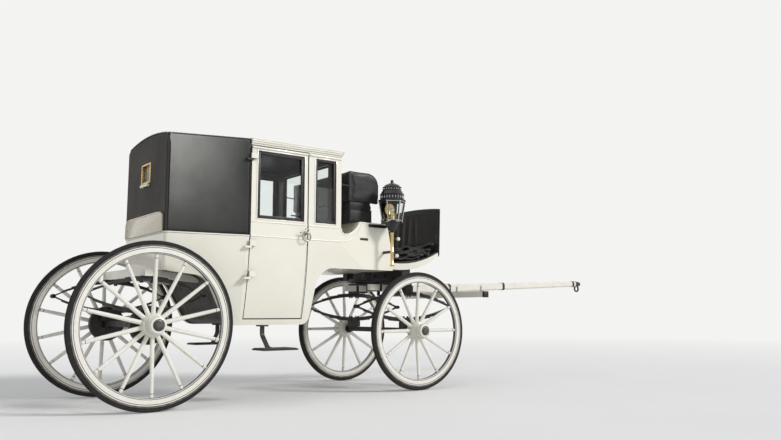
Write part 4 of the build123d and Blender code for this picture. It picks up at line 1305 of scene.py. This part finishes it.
    def head_piping(self) -> None:
        """Welts along the head's corners and shoulders, and a row of nails along its foot."""
        x, y, _ = self.corner(0.0, 0.0005)[3]
        up = [(x, y, z) for z in (1.295, 1.50, 1.70, 1.90, 2.000)]
        turn = [(x + 0.002, y + 0.002, 2.018), (x + 0.009, y + 0.005, 2.0305)]
        seam = [self.shoulder(far) for far in (0.150, 0.30, 0.50, TAPER_FRONT, 0.749)]
        ys = (-0.405, -0.30, -0.20, -0.10, 0.0)
        arch = [(BODY_REAR + 0.004, across, 2.040 + 0.046 * (1 - (across / REAR_HALF) ** 2)) for across in ys]
        with making("head_welts", Look.LAMP_BLACK, slot="head_leather", twin=True) as shape:
            shape.sweep([*up, *turn, *seam], 0.0065)
            shape.sweep([(0.745, -HALF_WIDTH - 0.002, z) for z in (1.296, 1.985)], 0.0045)
            shape.sweep([(x + 0.004, y + 0.006, 2.026), *arch], 0.0055)
        with making("head_nails", Look.LAMP_BLACK, slot="head_leather", twin=True, outward=False) as shape:
            for far in (0.170 + number * 0.0258 for number in range(22)):
                shape.ball((far, -half_at(far), 1.304), 0.0032, steps=4)

    def rear_window(self) -> None:
        """The small rear window's frame and the rolled curtain under it."""
        with making("rear_window_frame", Look.BRASS) as shape:
            for y0, y1, z0, z1 in (
                (-0.100, -0.086, 1.704, 1.866), (0.086, 0.100, 1.704, 1.866), (-0.086, 0.086, 1.704, 1.718),
                (-0.086, 0.086, 1.852, 1.866),
            ):
                shape.block((BODY_REAR - 0.006, y0, z0), (BODY_REAR + 0.020, y1, z1), 0.003)
        with making("rear_curtain_roll", Look.TRIM, slot="interior_cloth") as shape:
            x = BODY_REAR - 0.010
            shape.rod((x, -0.085, 1.688), (x, 0.085, 1.690), 0.0095, sides=20)
            for y in (-0.060, 0.060):
                shape.block((x - 0.011, y - 0.006, 1.677), (x + 0.012, y + 0.006, 1.702), 0.002)

    def back_shield(self) -> None:
        """The raised panel at the foot of the head's back, in a tan that is partly painted shade and warm reflected
        light.
        """
        x = BODY_REAR - 0.012
        right = [(x, y, z) for y, z in (
            (-0.415, 1.293), (-0.412, 1.398), (-0.400, 1.424), (-0.372, 1.437), (-0.300, 1.443)
        )]
        outline = right + mirrored(right)
        with making("back_shield", Look.SHIELD) as shape:
            shape.plate([(x + 0.013, y, z) for x, y, z in outline], (-0.013, 0.0, 0.0), 0.003)
            shape.sweep(outline, 0.005)

    def lining(self) -> None:
        """Cloth lining inside the doors."""
        for side, sign in SIDES:
            with making(f"door_lining_{side}", Look.LINING, f"door_{side}_body") as shape:
                shape.block((0.800, sign * 0.5075, 1.300), (1.258, sign * 0.5045, 1.420), 0.001, 1)


@dataclass
class CabinSeat:
    """The passengers' cushion and buttoned squab."""

    button_rows: tuple[float, ...] = (1.335, 1.475, 1.615)
    button_ys: tuple[float, ...] = (-0.31, -0.155, 0.0, 0.155, 0.31)
    tuft: float = 0.022
    spread: float = 0.055

    def build(self) -> None:
        """Adds both padded pieces and the buttons."""
        Padding("seat_cushion", "cabin_cushion", Look.CLOTH).build()
        squab = Padding("seat_squab", "cabin_squab", Look.CLOTH).build(self.tufts)
        front = max(v.co.x for v in squab.data.vertices) - REAR_AXLE_X
        with making("squab_buttons", Look.CLOTH) as shape:
            for y, z in self.buttons():
                shape.ball((front - self.tuft - 0.002, y, z), 0.010, (0.5, 1.0, 1.0), 6)

    def buttons(self) -> list[Pair]:
        """Where the buttons sit, across and up."""
        return [(y, z) for z in self.button_rows for y in self.button_ys]

    def tufts(self, mesh: Mesh) -> None:
        """Draws the squab's face in round each button.

        Args:
            mesh: the squab's mesh.
        """
        low = min(v.co.x for v in mesh.vertices)
        high = max(v.co.x for v in mesh.vertices)
        for vert in mesh.vertices:
            share = max(0.0, (vert.co.x - low) / (high - low) - 0.5) * 2.0
            if share:
                far = min(math.hypot(vert.co.y - y, vert.co.z - z) for y, z in self.buttons())
                vert.co.x -= self.tuft * math.exp(-((far / self.spread) ** 2)) * share


@dataclass
class DrivingBox:
    """The driving seat, toe board mat, dash and the irons round them."""

    seat_rear: float = 1.745
    seat_front: float = 1.985
    seat_half: float = 0.480
    wing_top: float = 1.935
    wing_bend: float = 0.115
    toe_front: float = 2.790
    dash_half: float = 0.466
    dash_foot: float = 1.219
    dash_top: float = 1.669
    dash_crown: float = 0.028

    def build(self) -> None:
        """Adds the padded pieces and their trim."""
        Padding("driving_cushion", "driving_cushion_pad", Look.SEAT, 0.009, shrink=0.005, cap=0.010).build()
        back = Padding("driving_back", "driving_back_pad", Look.SEAT, 0.009, shrink=0.004, cap=0.006)
        pad = back.build(self.channels)
        self.seat_box()
        self.seat_welts(pad)
        self.dash()
        self.mat()
        self.apron()
        self.irons()

    def channels(self, mesh: Mesh) -> None:
        """Draws the padded back in along upright channels.

        Args:
            mesh: the back's mesh.
        """
        inner = along(self.seat_rear + 0.035)
        for vert in mesh.vertices:
            if abs(vert.co.y) < 0.44 and vert.co.x > inner - 0.02:
                wave = math.cos(vert.co.y / 0.096 * math.pi) ** 2
                vert.co.x -= 0.008 * (1.0 - wave) ** 3

    def seat_box(self) -> None:
        """The leathered box under the cushion, with its buttoned flap at each side."""
        rear, front, half = self.seat_rear, self.seat_front, self.seat_half
        with making("driving_seat_box", Look.SEAT, instead="box_seat") as shape:
            shape.block((rear, -half, BOOT_TOP_Z), (front, half, 1.594), 0.010, 3)
            shape.block((rear + 0.004, -0.472, 1.590), (front - 0.012, 0.472, 1.668), 0.006)
        with making("seat_box_welts", Look.LAMP_BLACK, slot="seat_leather", twin=True) as shape:
            for z in (1.484, 1.588):
                shape.sweep([(x, -half - 0.002, z) for x in (rear + 0.006, front - 0.006)], 0.004)
            for x in (1.79, 1.865, 1.94):
                shape.ball((x, -half - 0.001, 1.500), 0.006, steps=6)

    def seat_welts(self, pad: Thing) -> None:
        """Welts round the wings' edges, laid on the padded back.

        Args:
            pad: the padded back.
        """
        rear, front, top, bend = self.seat_rear - 0.020, self.seat_front + 0.075, self.wing_top, self.wing_bend
        path = [(rear, 1.665 + 0.045 * n) for n in range(6)]
        path += [(rear + (front - bend - rear) * n / 6, top) for n in range(6)]
        path += arc((front - bend, top - bend), bend, 90, 0, 8) + [(front, z) for z in (1.78, 1.74, 1.70)]
        with making("wing_welts", Look.LAMP_BLACK, slot="seat_leather", twin=True) as shape:
            shape.sweep(settle([(x, -self.seat_half - 0.018, z) for x, z in path], pad), 0.0045)

    def crest(self) -> list[Pair]:
        """Points along the dash's curved top, across and up."""
        ys = [self.dash_half * n / 10 for n in range(-10, 11)]
        return [(y, self.dash_top + self.dash_crown * (1 - (y / self.dash_half) ** 2)) for y in ys]

    def folded(self, across: float, up: float) -> Vector:
        """A point of the dash's leather, by its shares of the half width and the height.

        Args:
            across: share of the half width, from -1 to 1.
            up: share of the height, from 0 to 1.

        Returns:
            The point in the model.
        """
        y = across * (self.dash_half - 0.020 * (1 - up))
        z = self.dash_foot + up * (self.dash_top - self.dash_foot + self.dash_crown * (1 - across * across))
        loose = min(1.0, max(0.0, (y + 0.08) / 0.06))
        fold = loose * 0.0065 * math.sin(62 * y + 2.5 * up) * (0.6 + 0.4 * math.sin(7 * y))
        fold += 0.006 * math.exp(-(((y + 0.10) / 0.012) ** 2))
        return spot((self.toe_front + 0.001 + fold * math.sin(math.pi * up), y, z))

    def dash(self) -> None:
        """The dash: leather folds over an iron frame, with piping along the top."""
        x, half, foot = self.toe_front, self.dash_half, self.dash_foot
        crest = self.crest()
        with making("dash_leather", Look.DASH, smooth=60.0, instead="dash") as shape:
            bmesh.ops.create_grid(shape.bm, x_segments=72, y_segments=22, size=0.5)
            for vert in shape.bm.verts:
                vert.co = self.folded(2 * vert.co.x, vert.co.y + 0.5)
            shape.bm.normal_update()
            bmesh.ops.solidify(shape.bm, geom=shape.bm.faces, thickness=-0.011)
        with making("dash_border", Look.SEAT, slot="head_leather") as shape:
            inner = [(y * 0.905, z - 0.042) for y, z in crest]
            outer_foot, inner_foot = ((edge - 0.020, foot + 0.004) for edge in (half, half * 0.905))
            outline = [
                (-outer_foot[0], outer_foot[1]), *crest, outer_foot, inner_foot, *reversed(inner),
                (-inner_foot[0], inner_foot[1]),
            ]
            shape.plate([(x + 0.0015, y, z) for y, z in outline], (-0.003, 0.0, 0.0))
        with making("dash_frame", Look.LAMP_BLACK, slot="head_leather") as shape:
            right = [(x + 0.007, -0.450, foot + 0.01), (x + 0.007, -half, self.dash_top - 0.01)]
            shape.sweep([*right, *((x + 0.007, y, z + 0.003) for y, z in crest), *mirrored(right)], 0.0075)
            for y in (-0.30, 0.30):
                shape.sweep([(x + 0.016, y, z) for z in (foot - 0.005, 1.45, 1.66)], 0.006)

    def toe_top(self, x: float) -> float:
        """Height of the toe board's top."""
        return arc_height(((2.200, 1.140), (2.5245, 1.156), (2.790, 1.256)), x)

    def mat(self) -> None:
        """The ribbed mat on the toe board."""
        with making("toe_mat_ribs", Look.MAT) as shape:
            for x in (2.290 + number * 0.0147 for number in range(34)):
                shape.sweep([(x, y, self.toe_top(x) + 0.008) for y in (-0.428, 0.428)], 0.0042, 6)
        dress(Look.MAT, "toe_mat")

    def fold_path(self, back: float, lift: float, radius: float, turn: float) -> list[Point]:
        """Points along one loose fold of the apron.

        Args:
            back: how far behind the dash it lies.
            lift: its height above the mat.
            radius: its thickness.
            turn: the phase of its waves.

        Returns:
            The points, from right to left.
        """
        half = 0.398 - 0.020 * math.sin(3.0 * turn)
        path = []
        for y in (half * (number / 12 - 1.0) for number in range(25)):
            x = self.toe_front - back - 0.008 * math.sin(13.0 * y + turn) - 0.006 * math.sin(29.0 * y + 2.0 * turn)
            rise = lift + 0.008 * math.sin(17.0 * y + 2.3 * turn) + 0.006 * math.sin(37.0 * y + turn)
            path.append((x, y, self.toe_top(x) + 0.014 + radius * 0.7 + rise))
        return path

    def apron(self) -> None:
        """The driver's apron, pushed together in loose folds at the dash's foot."""
        shape = Shape()
        for back, lift, radius, turn in (
            (0.056, 0.000, 0.027, 0.3), (0.108, 0.000, 0.027, 1.7), (0.162, 0.000, 0.025, 2.9),
            (0.214, 0.000, 0.020, 4.4), (0.078, 0.034, 0.026, 5.2), (0.136, 0.030, 0.023, 0.9),
            (0.052, 0.062, 0.022, 3.7),
        ):
            path = self.fold_path(back, lift, radius, turn)
            shape.sweep(path, radius, 12, flat=(1.15, 0.8))
            for point in (path[0], path[-1]):
                shape.ball(point, radius, (1.1, 0.9, 0.8), 8)
        with bench("driver_apron", shape.mesh("driver_apron")) as holder:
            bake(holder, "REMESH", mode="VOXEL", voxel_size=0.006)
            bake(holder, "SMOOTH", factor=0.5, iterations=5)
            mesh = holder.data
        seat(mesh, "driver_apron", Look.SEAT, smooth=80.0)

    def irons(self) -> None:
        """Seat stays and the brake lever's arms with their knobs."""
        with making("seat_stays", Look.IRON, twin=True) as shape:
            shape.sweep([(1.606, -0.470, 1.799), (1.68, -0.474, 1.795), (1.738, -0.476, 1.792)], 0.006)
            shape.sweep([(1.606, -0.30, 1.60), (1.68, -0.30, 1.60), (1.740, -0.30, 1.575)], 0.007)
        levers = ((2.150, 2.262, 1.352), (2.196, 2.245, 1.197))
        knob = [(0.0, 0.0), (0.0, 0.013), (0.006, 0.017), (0.018, 0.017), (0.024, 0.012), (0.025, 0.005), (0.022, 0.0)]
        with making("brake_lever_knobs", Look.TRIM) as shape:
            for _, x, z in levers:
                shape.turned((x, -0.497, z), (0.0, -1.0, 0.0), AHEAD, knob, 20)
        with making("brake_lever_arms", Look.IRON) as shape:
            for root, x, z in levers:
                shape.sweep([(root, -0.490, z - 0.01), (2.23, -0.490, z), (x, -0.497, z)], 0.006)


@dataclass
class Lamps:
    """The two six-sided carriage lamps."""

    x: float = 2.090
    y: float = -0.640
    glass: Pair = (1.489, 1.665)
    base_r: float = 0.086
    top_r: float = 0.116
    sides: int = 6

    def build(self) -> None:
        """Dresses the frames and adds rims, crown, reflector and candle."""
        dress(Look.LAMP_BLACK, "lamp_frames")
        self.rims()
        self.crown()
        self.stem()
        self.inside()

    def corner(self, radius: float, turn: float, z: float) -> Point:
        """A point round a lamp's upright axis, turn in degrees."""
        angle = math.radians(turn)
        return (self.x + radius * math.cos(angle), self.y + radius * math.sin(angle), z)

    def ring(self, radius: float, z: float, count: int, offset: float = 0.0) -> list[Point]:
        """Points of a level ring round a lamp."""
        return [self.corner(radius, 360 * (n + offset) / count, z) for n in range(count)]

    def rims(self) -> None:
        """Silvered rims and bars round the glass."""
        low, high = self.glass
        with making("lamp_rims", Look.SILVER, twin=True) as shape:
            for radius, z, thick in (
                (self.base_r + 0.004, low + 0.003, 0.0045), (self.top_r + 0.002, high - 0.003, 0.005),
                (self.base_r + 0.008, low - 0.006, 0.004),
            ):
                corners = self.ring(radius, z, self.sides, 0.5)
                for first, second in zip(corners, corners[1:] + corners[:1]):
                    shape.rod(first, second, thick, sides=8)
                    shape.ball(first, thick, steps=4)
            feet = self.ring(self.base_r + 0.0035, low, self.sides, 0.5)
            for foot, head in zip(feet, self.ring(self.top_r + 0.0015, high, self.sides, 0.5)):
                shape.rod(foot, head, 0.0042, sides=8)

    def crown(self) -> None:
        """Pierced galleries round the crown, and the lines between them."""
        high = self.glass[1]
        with making("lamp_gallery_slots", Look.SILVER, twin=True) as shape:
            for radius, z, count, tall in ((0.1025, high + 0.034, 26, 0.020), (0.0795, high + 0.109, 22, 0.011)):
                for x, y, _ in self.ring(radius + 0.0025, z, count):
                    shape.rod((x, y, z - tall / 2), (x, y, z + tall / 2), 0.0032, sides=6)
        with making("lamp_crown_lines", Look.LAMP_BLACK, twin=True) as shape:
            for radius, lift in ((0.103, 0.016), (0.1085, 0.058), (0.080, 0.099), (0.0845, 0.124)):
                shape.sweep(self.ring(radius, high + lift, 36), 0.0022, 6, loop=True)

    def stem(self) -> None:
        """Brass tube, collars and cap of the long candle stem."""
        profile = [
            (1.088, 0.0), (1.088, 0.012), (1.096, 0.0185), (1.108, 0.0185), (1.114, 0.0145), (1.205, 0.0142),
            (1.21, 0.0175), (1.222, 0.0175), (1.227, 0.0142), (1.372, 0.0142), (1.378, 0.018), (1.386, 0.018),
            (1.386, 0.0),
        ]
        with making("lamp_stems", Look.BRASS, twin=True) as shape:
            shape.turned((self.x, self.y, 0.0), UP, AHEAD, profile, 28)

    def inside(self) -> None:
        """Brass reflector, candle tube and wick behind the glass."""
        x, y, low = self.x, self.y, self.glass[0]
        behind = y + 0.052
        cup = [(0.002, 0.0), (0.002, 0.060), (0.012, 0.052), (0.020, 0.022), (0.075, 0.018), (0.078, 0.0)]
        dish = [
            (0.0, 0.0), (0.002, 0.020), (0.008, 0.040), (0.018, 0.055), (0.020, 0.055), (0.009, 0.038), (0.004, 0.0)
        ]
        with making("lamp_reflectors", Look.BRASS, twin=True) as shape:
            shape.turned((x, y, low), UP, AHEAD, cup, 28)
            shape.turned((x, behind, low + 0.105), (0.0, -1.0, 0.0), AHEAD, dish, 28)
            shape.rod((x, behind, low), (x, behind, low + 0.06), 0.004, sides=8)
        middle, slope = low + 0.080, (self.top_r - self.base_r) / (self.glass[1] - low)
        for name, look, zs in (
            ("lamp_gold_backs", Look.BRASS, (low + 0.003, middle)),
            ("lamp_black_backs", Look.LAMP_BLACK, (middle, self.glass[1] - 0.004)),
        ):
            lower, upper = (
                [self.corner(self.base_r + slope * (z - low) - 0.007, turn, z) for turn in (30, 90, 150)] for z in zs
            )
            with making(name, look, twin=True) as shape:
                for n in (0, 1):
                    shape.plate([lower[n], lower[n + 1], upper[n + 1], upper[n]], (0.0, -0.002, 0.0))
        with making("lamp_candles", Look.CANDLE, twin=True) as shape:
            shape.rod((x, y, low + 0.070), (x, y, low + 0.118), 0.011, sides=20)
            shape.rod((x, y, low + 0.118), (x, y, low + 0.128), 0.0012, sides=6)


@dataclass
class Wheel:
    """One wheel: a rounded tyre in its channel, felloe bolts and a two-tone nose."""

    axle: str
    side: str
    sign: int
    x: float
    radius: float
    spokes: int
    look: Look
    tyre_depth: float = 0.040
    felloe_depth: float = 0.056
    felloe_half: float = 0.022

    @property
    def body(self) -> str:
        """Name of the wheel's CAD body."""
        return f"{self.axle}_wheel_{self.side}_body"

    @property
    def inner(self) -> float:
        """Radius of the felloe's outside, which the channel clasps."""
        return self.radius - self.tyre_depth

    def turned(self, shape: Shape, profile: Sequence[Pair], steps: int, loop: bool = True) -> None:
        """Turns a profile of distances outwards from the rim's middle and radii."""
        shape.turned((self.x, self.sign * RIM_Y, self.radius), (0.0, float(self.sign), 0.0), UP, profile, steps, loop)

    def build(self) -> None:
        """Adds the wheel's pieces and dresses its CAD nodes."""
        dress(self.look, f"{self.axle}_wheel_{self.side}")
        self.tyre()
        self.rim()
        self.nave()

    def making(self, kind: str, look: Look, **options: object) -> AbstractContextManager[Shape]:
        """Makes a piece of this wheel."""
        return making(f"{self.axle}_{kind}_{self.side}", look, self.body, **options)

    def tyre(self) -> None:
        """A solid rubber tyre with a worn crown, bulging over its channel."""
        right = [(y, self.inner + rise) for y, rise in (
            (0.0165, 0.002), (0.0185, 0.009), (0.0190, 0.016), (0.0180, 0.026), (0.0155, 0.033), (0.0110, 0.0375),
            (0.0055, 0.0395),
        )]
        profile = right + [(0.0, self.radius)] + [(-y, r) for y, r in reversed(right)]
        with self.making("rubber", Look.TYRE, smooth=50.0, instead=f"{self.axle}_tyre_{self.side}") as shape:
            self.turned(shape, profile, 128)

    def rim(self) -> None:
        """The steel channel that holds the tyre, and bolts through the felloe."""
        half = [(y, self.inner + rise) for y, rise in (
            (0.0222, -0.004), (0.0222, 0.008), (0.0200, 0.009), (0.0195, 0.002)
        )]
        with self.making("channel", Look.STEEL) as shape:
            self.turned(shape, half + [(-y, r) for y, r in reversed(half)], 128)
        middle = self.inner - self.felloe_depth / 2
        y = self.sign * (RIM_Y + self.felloe_half)
        with self.making("felloe_bolts", self.look) as shape:
            for angle in (turn + off for turn in turns(self.spokes // 2, 0.25) for off in (-0.055, 0.055)):
                x, z = self.x + middle * math.sin(angle), self.radius + middle * math.cos(angle)
                shape.rod((x, y - self.sign * 0.001, z), (x, y + self.sign * 0.0028, z), 0.0052, sides=6)

    def nave(self) -> None:
        """Painted nose ring round a dark cap, turned beads on the nave and feet at the spokes."""
        ring = [
            (0.058, 0.040), (0.058, 0.0602), (0.064, 0.0620), (0.082, 0.0620), (0.092, 0.0585), (0.0965, 0.0520),
            (0.0965, 0.0445), (0.090, 0.0400),
        ]
        with self.making("nose_ring", self.look, instead=f"{self.axle}_hub_cap_{self.side}") as shape:
            self.turned(shape, ring, 64)
            for out, radius in ((0.030, 0.0748), (0.040, 0.0705), (0.050, 0.0660)):
                self.turned(shape, [(out + 0.003 * math.cos(t), radius + 0.003 * math.sin(t)) for t in turns(8)], 56)
        cap = [
            (0.060, 0.0), (0.060, 0.0402), (0.088, 0.0402), (0.093, 0.0370), (0.095, 0.0300), (0.100, 0.0290),
            (0.108, 0.0250), (0.110, 0.0),
        ]
        with self.making("oil_cap", Look.HUB) as shape:
            self.turned(shape, cap, 48, loop=False)
        with self.making("spoke_feet", self.look) as shape:
            for angle in turns(self.spokes):
                foot, tip = (
                    (self.x + r * math.sin(angle), self.sign * (RIM_Y - 0.028), self.radius + r * math.cos(angle))
                    for r in (0.079, 0.091)
                )
                shape.rod(foot, tip, 0.0185, 0.0172, 14)


@dataclass
class RunningGear:
    """Springs, axles, brakes, turntable, steps and pole."""

    spring_y: float = 0.420
    bearer_front: float = along(FRONT_AXLE + 0.12)

    def build(self) -> None:
        """Dresses the iron nodes and adds clips, nuts and bolts."""
        dress(Look.IRON, "steps", "rear_axle", "rear_springs", "front_axle", "front_springs", "upper_turntable")
        dress(Look.IRON, "lower_turntable", "brake_drum_right", "brake_drum_left", "pole_head", "hinge_pins")
        dress(Look.GEAR, "pole", "splinter_bar", "futchells")
        self.spring_clips("rear", 0.0, REAR_RADIUS, 0.440, BODY)
        self.spring_clips("front", FRONT_AXLE, FRONT_RADIUS, 0.550, FORE)
        self.brake_bolts()
        self.turntable_bolts()
        self.transom()
        self.step_treads()
        self.pole_irons()

    def spring_clips(self, axle: str, x: float, radius: float, half: float, body: str) -> None:
        """Box clips and nuts that hold a pair of springs, and the bolts of their eyes.

        Args:
            axle: which pair of springs.
            x: where the axle stands.
            radius: the axle's height.
            half: half the springs' length.
            body: the CAD body that the springs are on.
        """
        eye_z = radius + 0.2165
        y = self.spring_y
        with making(f"{axle}_spring_clips", Look.IRON, body, twin=True) as shape:
            for at in (x - 0.038, x + 0.038):
                for z0, z1 in ((radius + 0.076, eye_z - 0.098), (eye_z + 0.098, eye_z + 0.139)):
                    shape.block((at - 0.006, y - 0.031, z0), (at + 0.006, y + 0.031, z1), 0.002, 1)
                for nut_y in (y - 0.020, y + 0.020):
                    for z in (eye_z - 0.100, eye_z + 0.088):
                        shape.rod((at, nut_y, z), (at, nut_y, z + 0.012), 0.008, sides=6)
            for at in (x - half, x + half):
                shape.rod((at, y - 0.034, eye_z), (at, y + 0.034, eye_z), 0.0085, sides=14)
                for nut_y in (y - 0.034, y + 0.030):
                    shape.rod((at, nut_y, eye_z), (at, nut_y + 0.004, eye_z), 0.013, sides=6)

    def brake_bolts(self) -> None:
        """Studs and a bead on the rear brake drums."""
        bead = [(0.0, 0.125), (0.004, 0.128), (0.004, 0.134), (0.0, 0.137)]
        for side, sign in SIDES:
            with making(f"brake_studs_{side}", Look.IRON, f"rear_wheel_{side}_body") as shape:
                for angle in turns(8):
                    x, z = 0.105 * math.sin(angle), REAR_RADIUS + 0.105 * math.cos(angle)
                    shape.rod((x, sign * 0.4705, z), (x, sign * 0.4640, z), 0.008, sides=6)
                centre = (0.0, sign * 0.4705, REAR_RADIUS)
                shape.turned(centre, (0.0, float(-sign), 0.0), UP, bead, 48, loop=True)

    def turntable_bolts(self) -> None:
        """Bolt heads round the upper ring and straps on the futchells."""
        with making("ring_bolts", Look.IRON) as shape:
            for angle in turns(12, 0.5):
                x, y = FRONT_AXLE + 0.278 * math.cos(angle), 0.278 * math.sin(angle)
                shape.rod((x, y, 1.0045), (x, y, 1.0115), 0.0085, sides=6)
        with making("futchell_straps", Look.IRON, FORE, twin=True) as shape:
            for share in (0.12, 0.50, 0.86):
                x, y = 2.150 + share * 1.114, share * 0.152 - 0.2075
                shape.block((x - 0.014, y - 0.0255, 0.8860), (x + 0.014, y + 0.0255, 0.9475), 0.003, 1)

    def transom(self) -> None:
        """The bearer on the ring with its bolts, black as painted shade under the boot, and the cream stays up to the
        toe board.
        """
        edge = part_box("transom")[0][0] - REAR_AXLE_X
        # painted shade: the transom's cream bearer under the boot is shown in black iron
        with making("shade_black_bearer", Look.IRON, smooth=35.0, instead="transom") as shape:
            shape.take("transom")
            shape.keep(lambda at: at.x < self.bearer_front)
            for y in (-0.16, 0.0, 0.16):
                shape.block((edge - 0.003, y - 0.018, 1.016), (edge + 0.004, y + 0.018, 1.052), 0.001, 1)
                shape.rod((edge - 0.012, y, 1.034), (edge - 0.002, y, 1.034), 0.010, sides=6)
        with making("toe_stays", Look.BODY, smooth=35.0, instead="transom") as shape:
            shape.take("transom")
            shape.keep(lambda at: at.x > self.bearer_front)

    def step_treads(self) -> None:
        """Ribbed pads on the steps."""
        with making("step_ribs", Look.MAT, twin=True) as shape:
            for y in (-0.562 - number * 0.0205 for number in range(9)):
                shape.block((0.802, y - 0.006, 0.4115), (1.088, y + 0.004, 0.4170), 0.0015, 1)

    def pole_irons(self) -> None:
        """Iron bands round the pole, the splinter bar's ends and its bolts' collars."""
        with making("pole_bands", Look.IRON, FORE) as shape:
            for x in (2.76, 3.30, 4.10, 5.30):
                z = 0.899 + 0.043 * (x - FRONT_AXLE)
                half = (0.092 - (x - 2.700) / 2.650 * 0.030) / 2 + 0.0025
                cut = half - 0.014
                square = [
                    (half, -cut), (half, cut), (cut, half), (-cut, half), (-half, cut), (-half, -cut), (-cut, -half),
                    (cut, -half),
                ]
                shape.plate([(x - 0.016, y, z + dz) for y, dz in square], (0.032, 0.0, 0.0), 0.0015)
            for y in (-0.632, 0.632):
                shape.block((3.203, y - 0.012, 0.8315), (3.267, y + 0.012, 0.8915), 0.004)
        collar = [(0.8905, 0.0), (0.8905, 0.026), (0.8935, 0.026), (0.8955, 0.0185), (0.8955, 0.0)]
        with making("roller_collars", Look.IRON, FORE) as shape:
            for y in (-0.580, -0.230, 0.230, 0.580):
                shape.turned((3.235, y, 0.0), UP, AHEAD, collar, 24)


# ---------------------------------------------------------------- studio


@dataclass
class Studio:
    """Camera at the photograph's angle, soft lights and a pale floor."""

    place: Point = (-4.304, -5.832, 0.691)
    heading: float = 37.31
    pitch: float = 7.056
    roll: float = -0.04
    focal_pixels: float = 743.81
    frame_pixels: float = 781.0
    floor_tone: Point = (0.86, 0.85, 0.835)
    backdrop_tone: Point = (0.90, 0.90, 0.885)
    floor_fade: Pair = (4.0, 15.0)

    def build(self) -> None:
        """Makes the camera, the lights, the floor and the plain view settings."""
        self.camera()
        self.lights()
        self.sky()
        self.floor()
        bpy.context.scene.view_settings.view_transform = "Standard"

    def camera(self) -> None:
        """The fitted camera."""
        heading, pitch = math.radians(self.heading), math.radians(self.pitch)
        level = math.cos(pitch)
        ahead = Vector((math.sin(heading) * level, math.cos(heading) * level, math.sin(pitch)))
        data = bpy.data.cameras.new("photo_camera")
        data.sensor_fit = "HORIZONTAL"
        data.sensor_width = 36.0
        data.lens = self.focal_pixels / self.frame_pixels * 36.0
        data.clip_start, data.clip_end = 0.05, 200.0
        camera = show("photo_camera", data)
        camera.location = self.place
        camera.rotation_mode = "QUATERNION"
        turn = ahead.to_track_quat("-Z", "Y").to_matrix() @ Matrix.Rotation(math.radians(self.roll), 3, "Z")
        camera.rotation_quaternion = turn.to_quaternion()
        bpy.context.scene.camera = camera

    def lights(self) -> None:
        """A soft sun from the front right and a weak one from the left."""
        for name, source, power, spread in (
            ("key", (4.2, -6.2, 4.4), 2.1, 14.0), ("fill", (-5.0, -1.0, 6.0), 0.35, 60.0)
        ):
            data = bpy.data.lights.new(name, "SUN")
            data.energy, data.angle = power, math.radians(spread)
            light = show(name, data)
            light.rotation_mode = "QUATERNION"
            light.rotation_quaternion = (-Vector(source)).to_track_quat("-Z", "Y")

    def sky(self) -> None:
        """An even sky, with a plain backdrop where the camera sees it."""
        world = bpy.data.worlds.new("pale_sky")
        world.use_nodes = True
        sheet = Sheet(world.node_tree)
        sky = world.node_tree.nodes["Background"]
        sky.inputs[0].default_value = (0.93, 0.96, 1.0, 1.0)
        sky.inputs[1].default_value = 0.48
        seen = sheet.add("Background", {0: (*self.backdrop_tone, 1.0), 1: 1.0})
        sheet.backed(sky.outputs[0], seen, lambda rays: rays, "Camera", "Transmission", "Glossy")
        bpy.context.scene.world = world

    def floor(self) -> None:
        """A plain pale floor that fades into the background far from the carriage."""
        shape = Shape()
        bmesh.ops.create_grid(shape.bm, x_segments=1, y_segments=1, size=60.0)
        mesh = shape.mesh("studio_floor")
        floor = show("studio_floor", mesh)
        floor.location = (0.0, 0.0, -0.0005)
        second = tuple(0.97 * c for c in self.floor_tone)
        finish = Finish(
            "studio_floor", self.floor_tone, second, (0.75, 0.85), (0.6, 0.5), (60.0, 0.0004, 0.5), (0.0, 1.2),
            specular=0.2,
        )
        material = finish.build()
        sheet = Sheet(material.node_tree)
        place = sheet.add("TexCoord").outputs["Object"]
        far = sheet.add("VectorMath", {0: place}, operation="LENGTH").outputs["Value"]
        fade = sheet.span(far, self.floor_fade, (0.0, 1.0))
        seen = sheet.add("Emission", {0: (*self.backdrop_tone, 1.0), 1: 1.0})
        shader = material.node_tree.nodes["Principled BSDF"].outputs[0]
        sheet.backed(shader, seen, lambda rays: sheet.sums("MULTIPLY", fade, rays), "Camera", "Transmission")
        mesh.materials.append(material)


def main() -> None:
    """Builds the carriage piece by piece around the loaded frame."""
    logging.basicConfig(level=logging.INFO, format="%(message)s")
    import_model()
    Studio().build()
    Cabin().build()
    CabinSeat().build()
    DrivingBox().build()
    Lamps().build()
    for axle, x, radius, spokes, look in (
        ("rear", 0.0, REAR_RADIUS, 14, Look.REAR_WHEEL),
        ("front", FRONT_AXLE, FRONT_RADIUS, 12, Look.FRONT_WHEEL),
    ):
        for side, sign in SIDES:
            Wheel(axle, side, sign, x, radius, spokes, look).build()
    RunningGear().build()


if __name__ == "__main__":
    main()
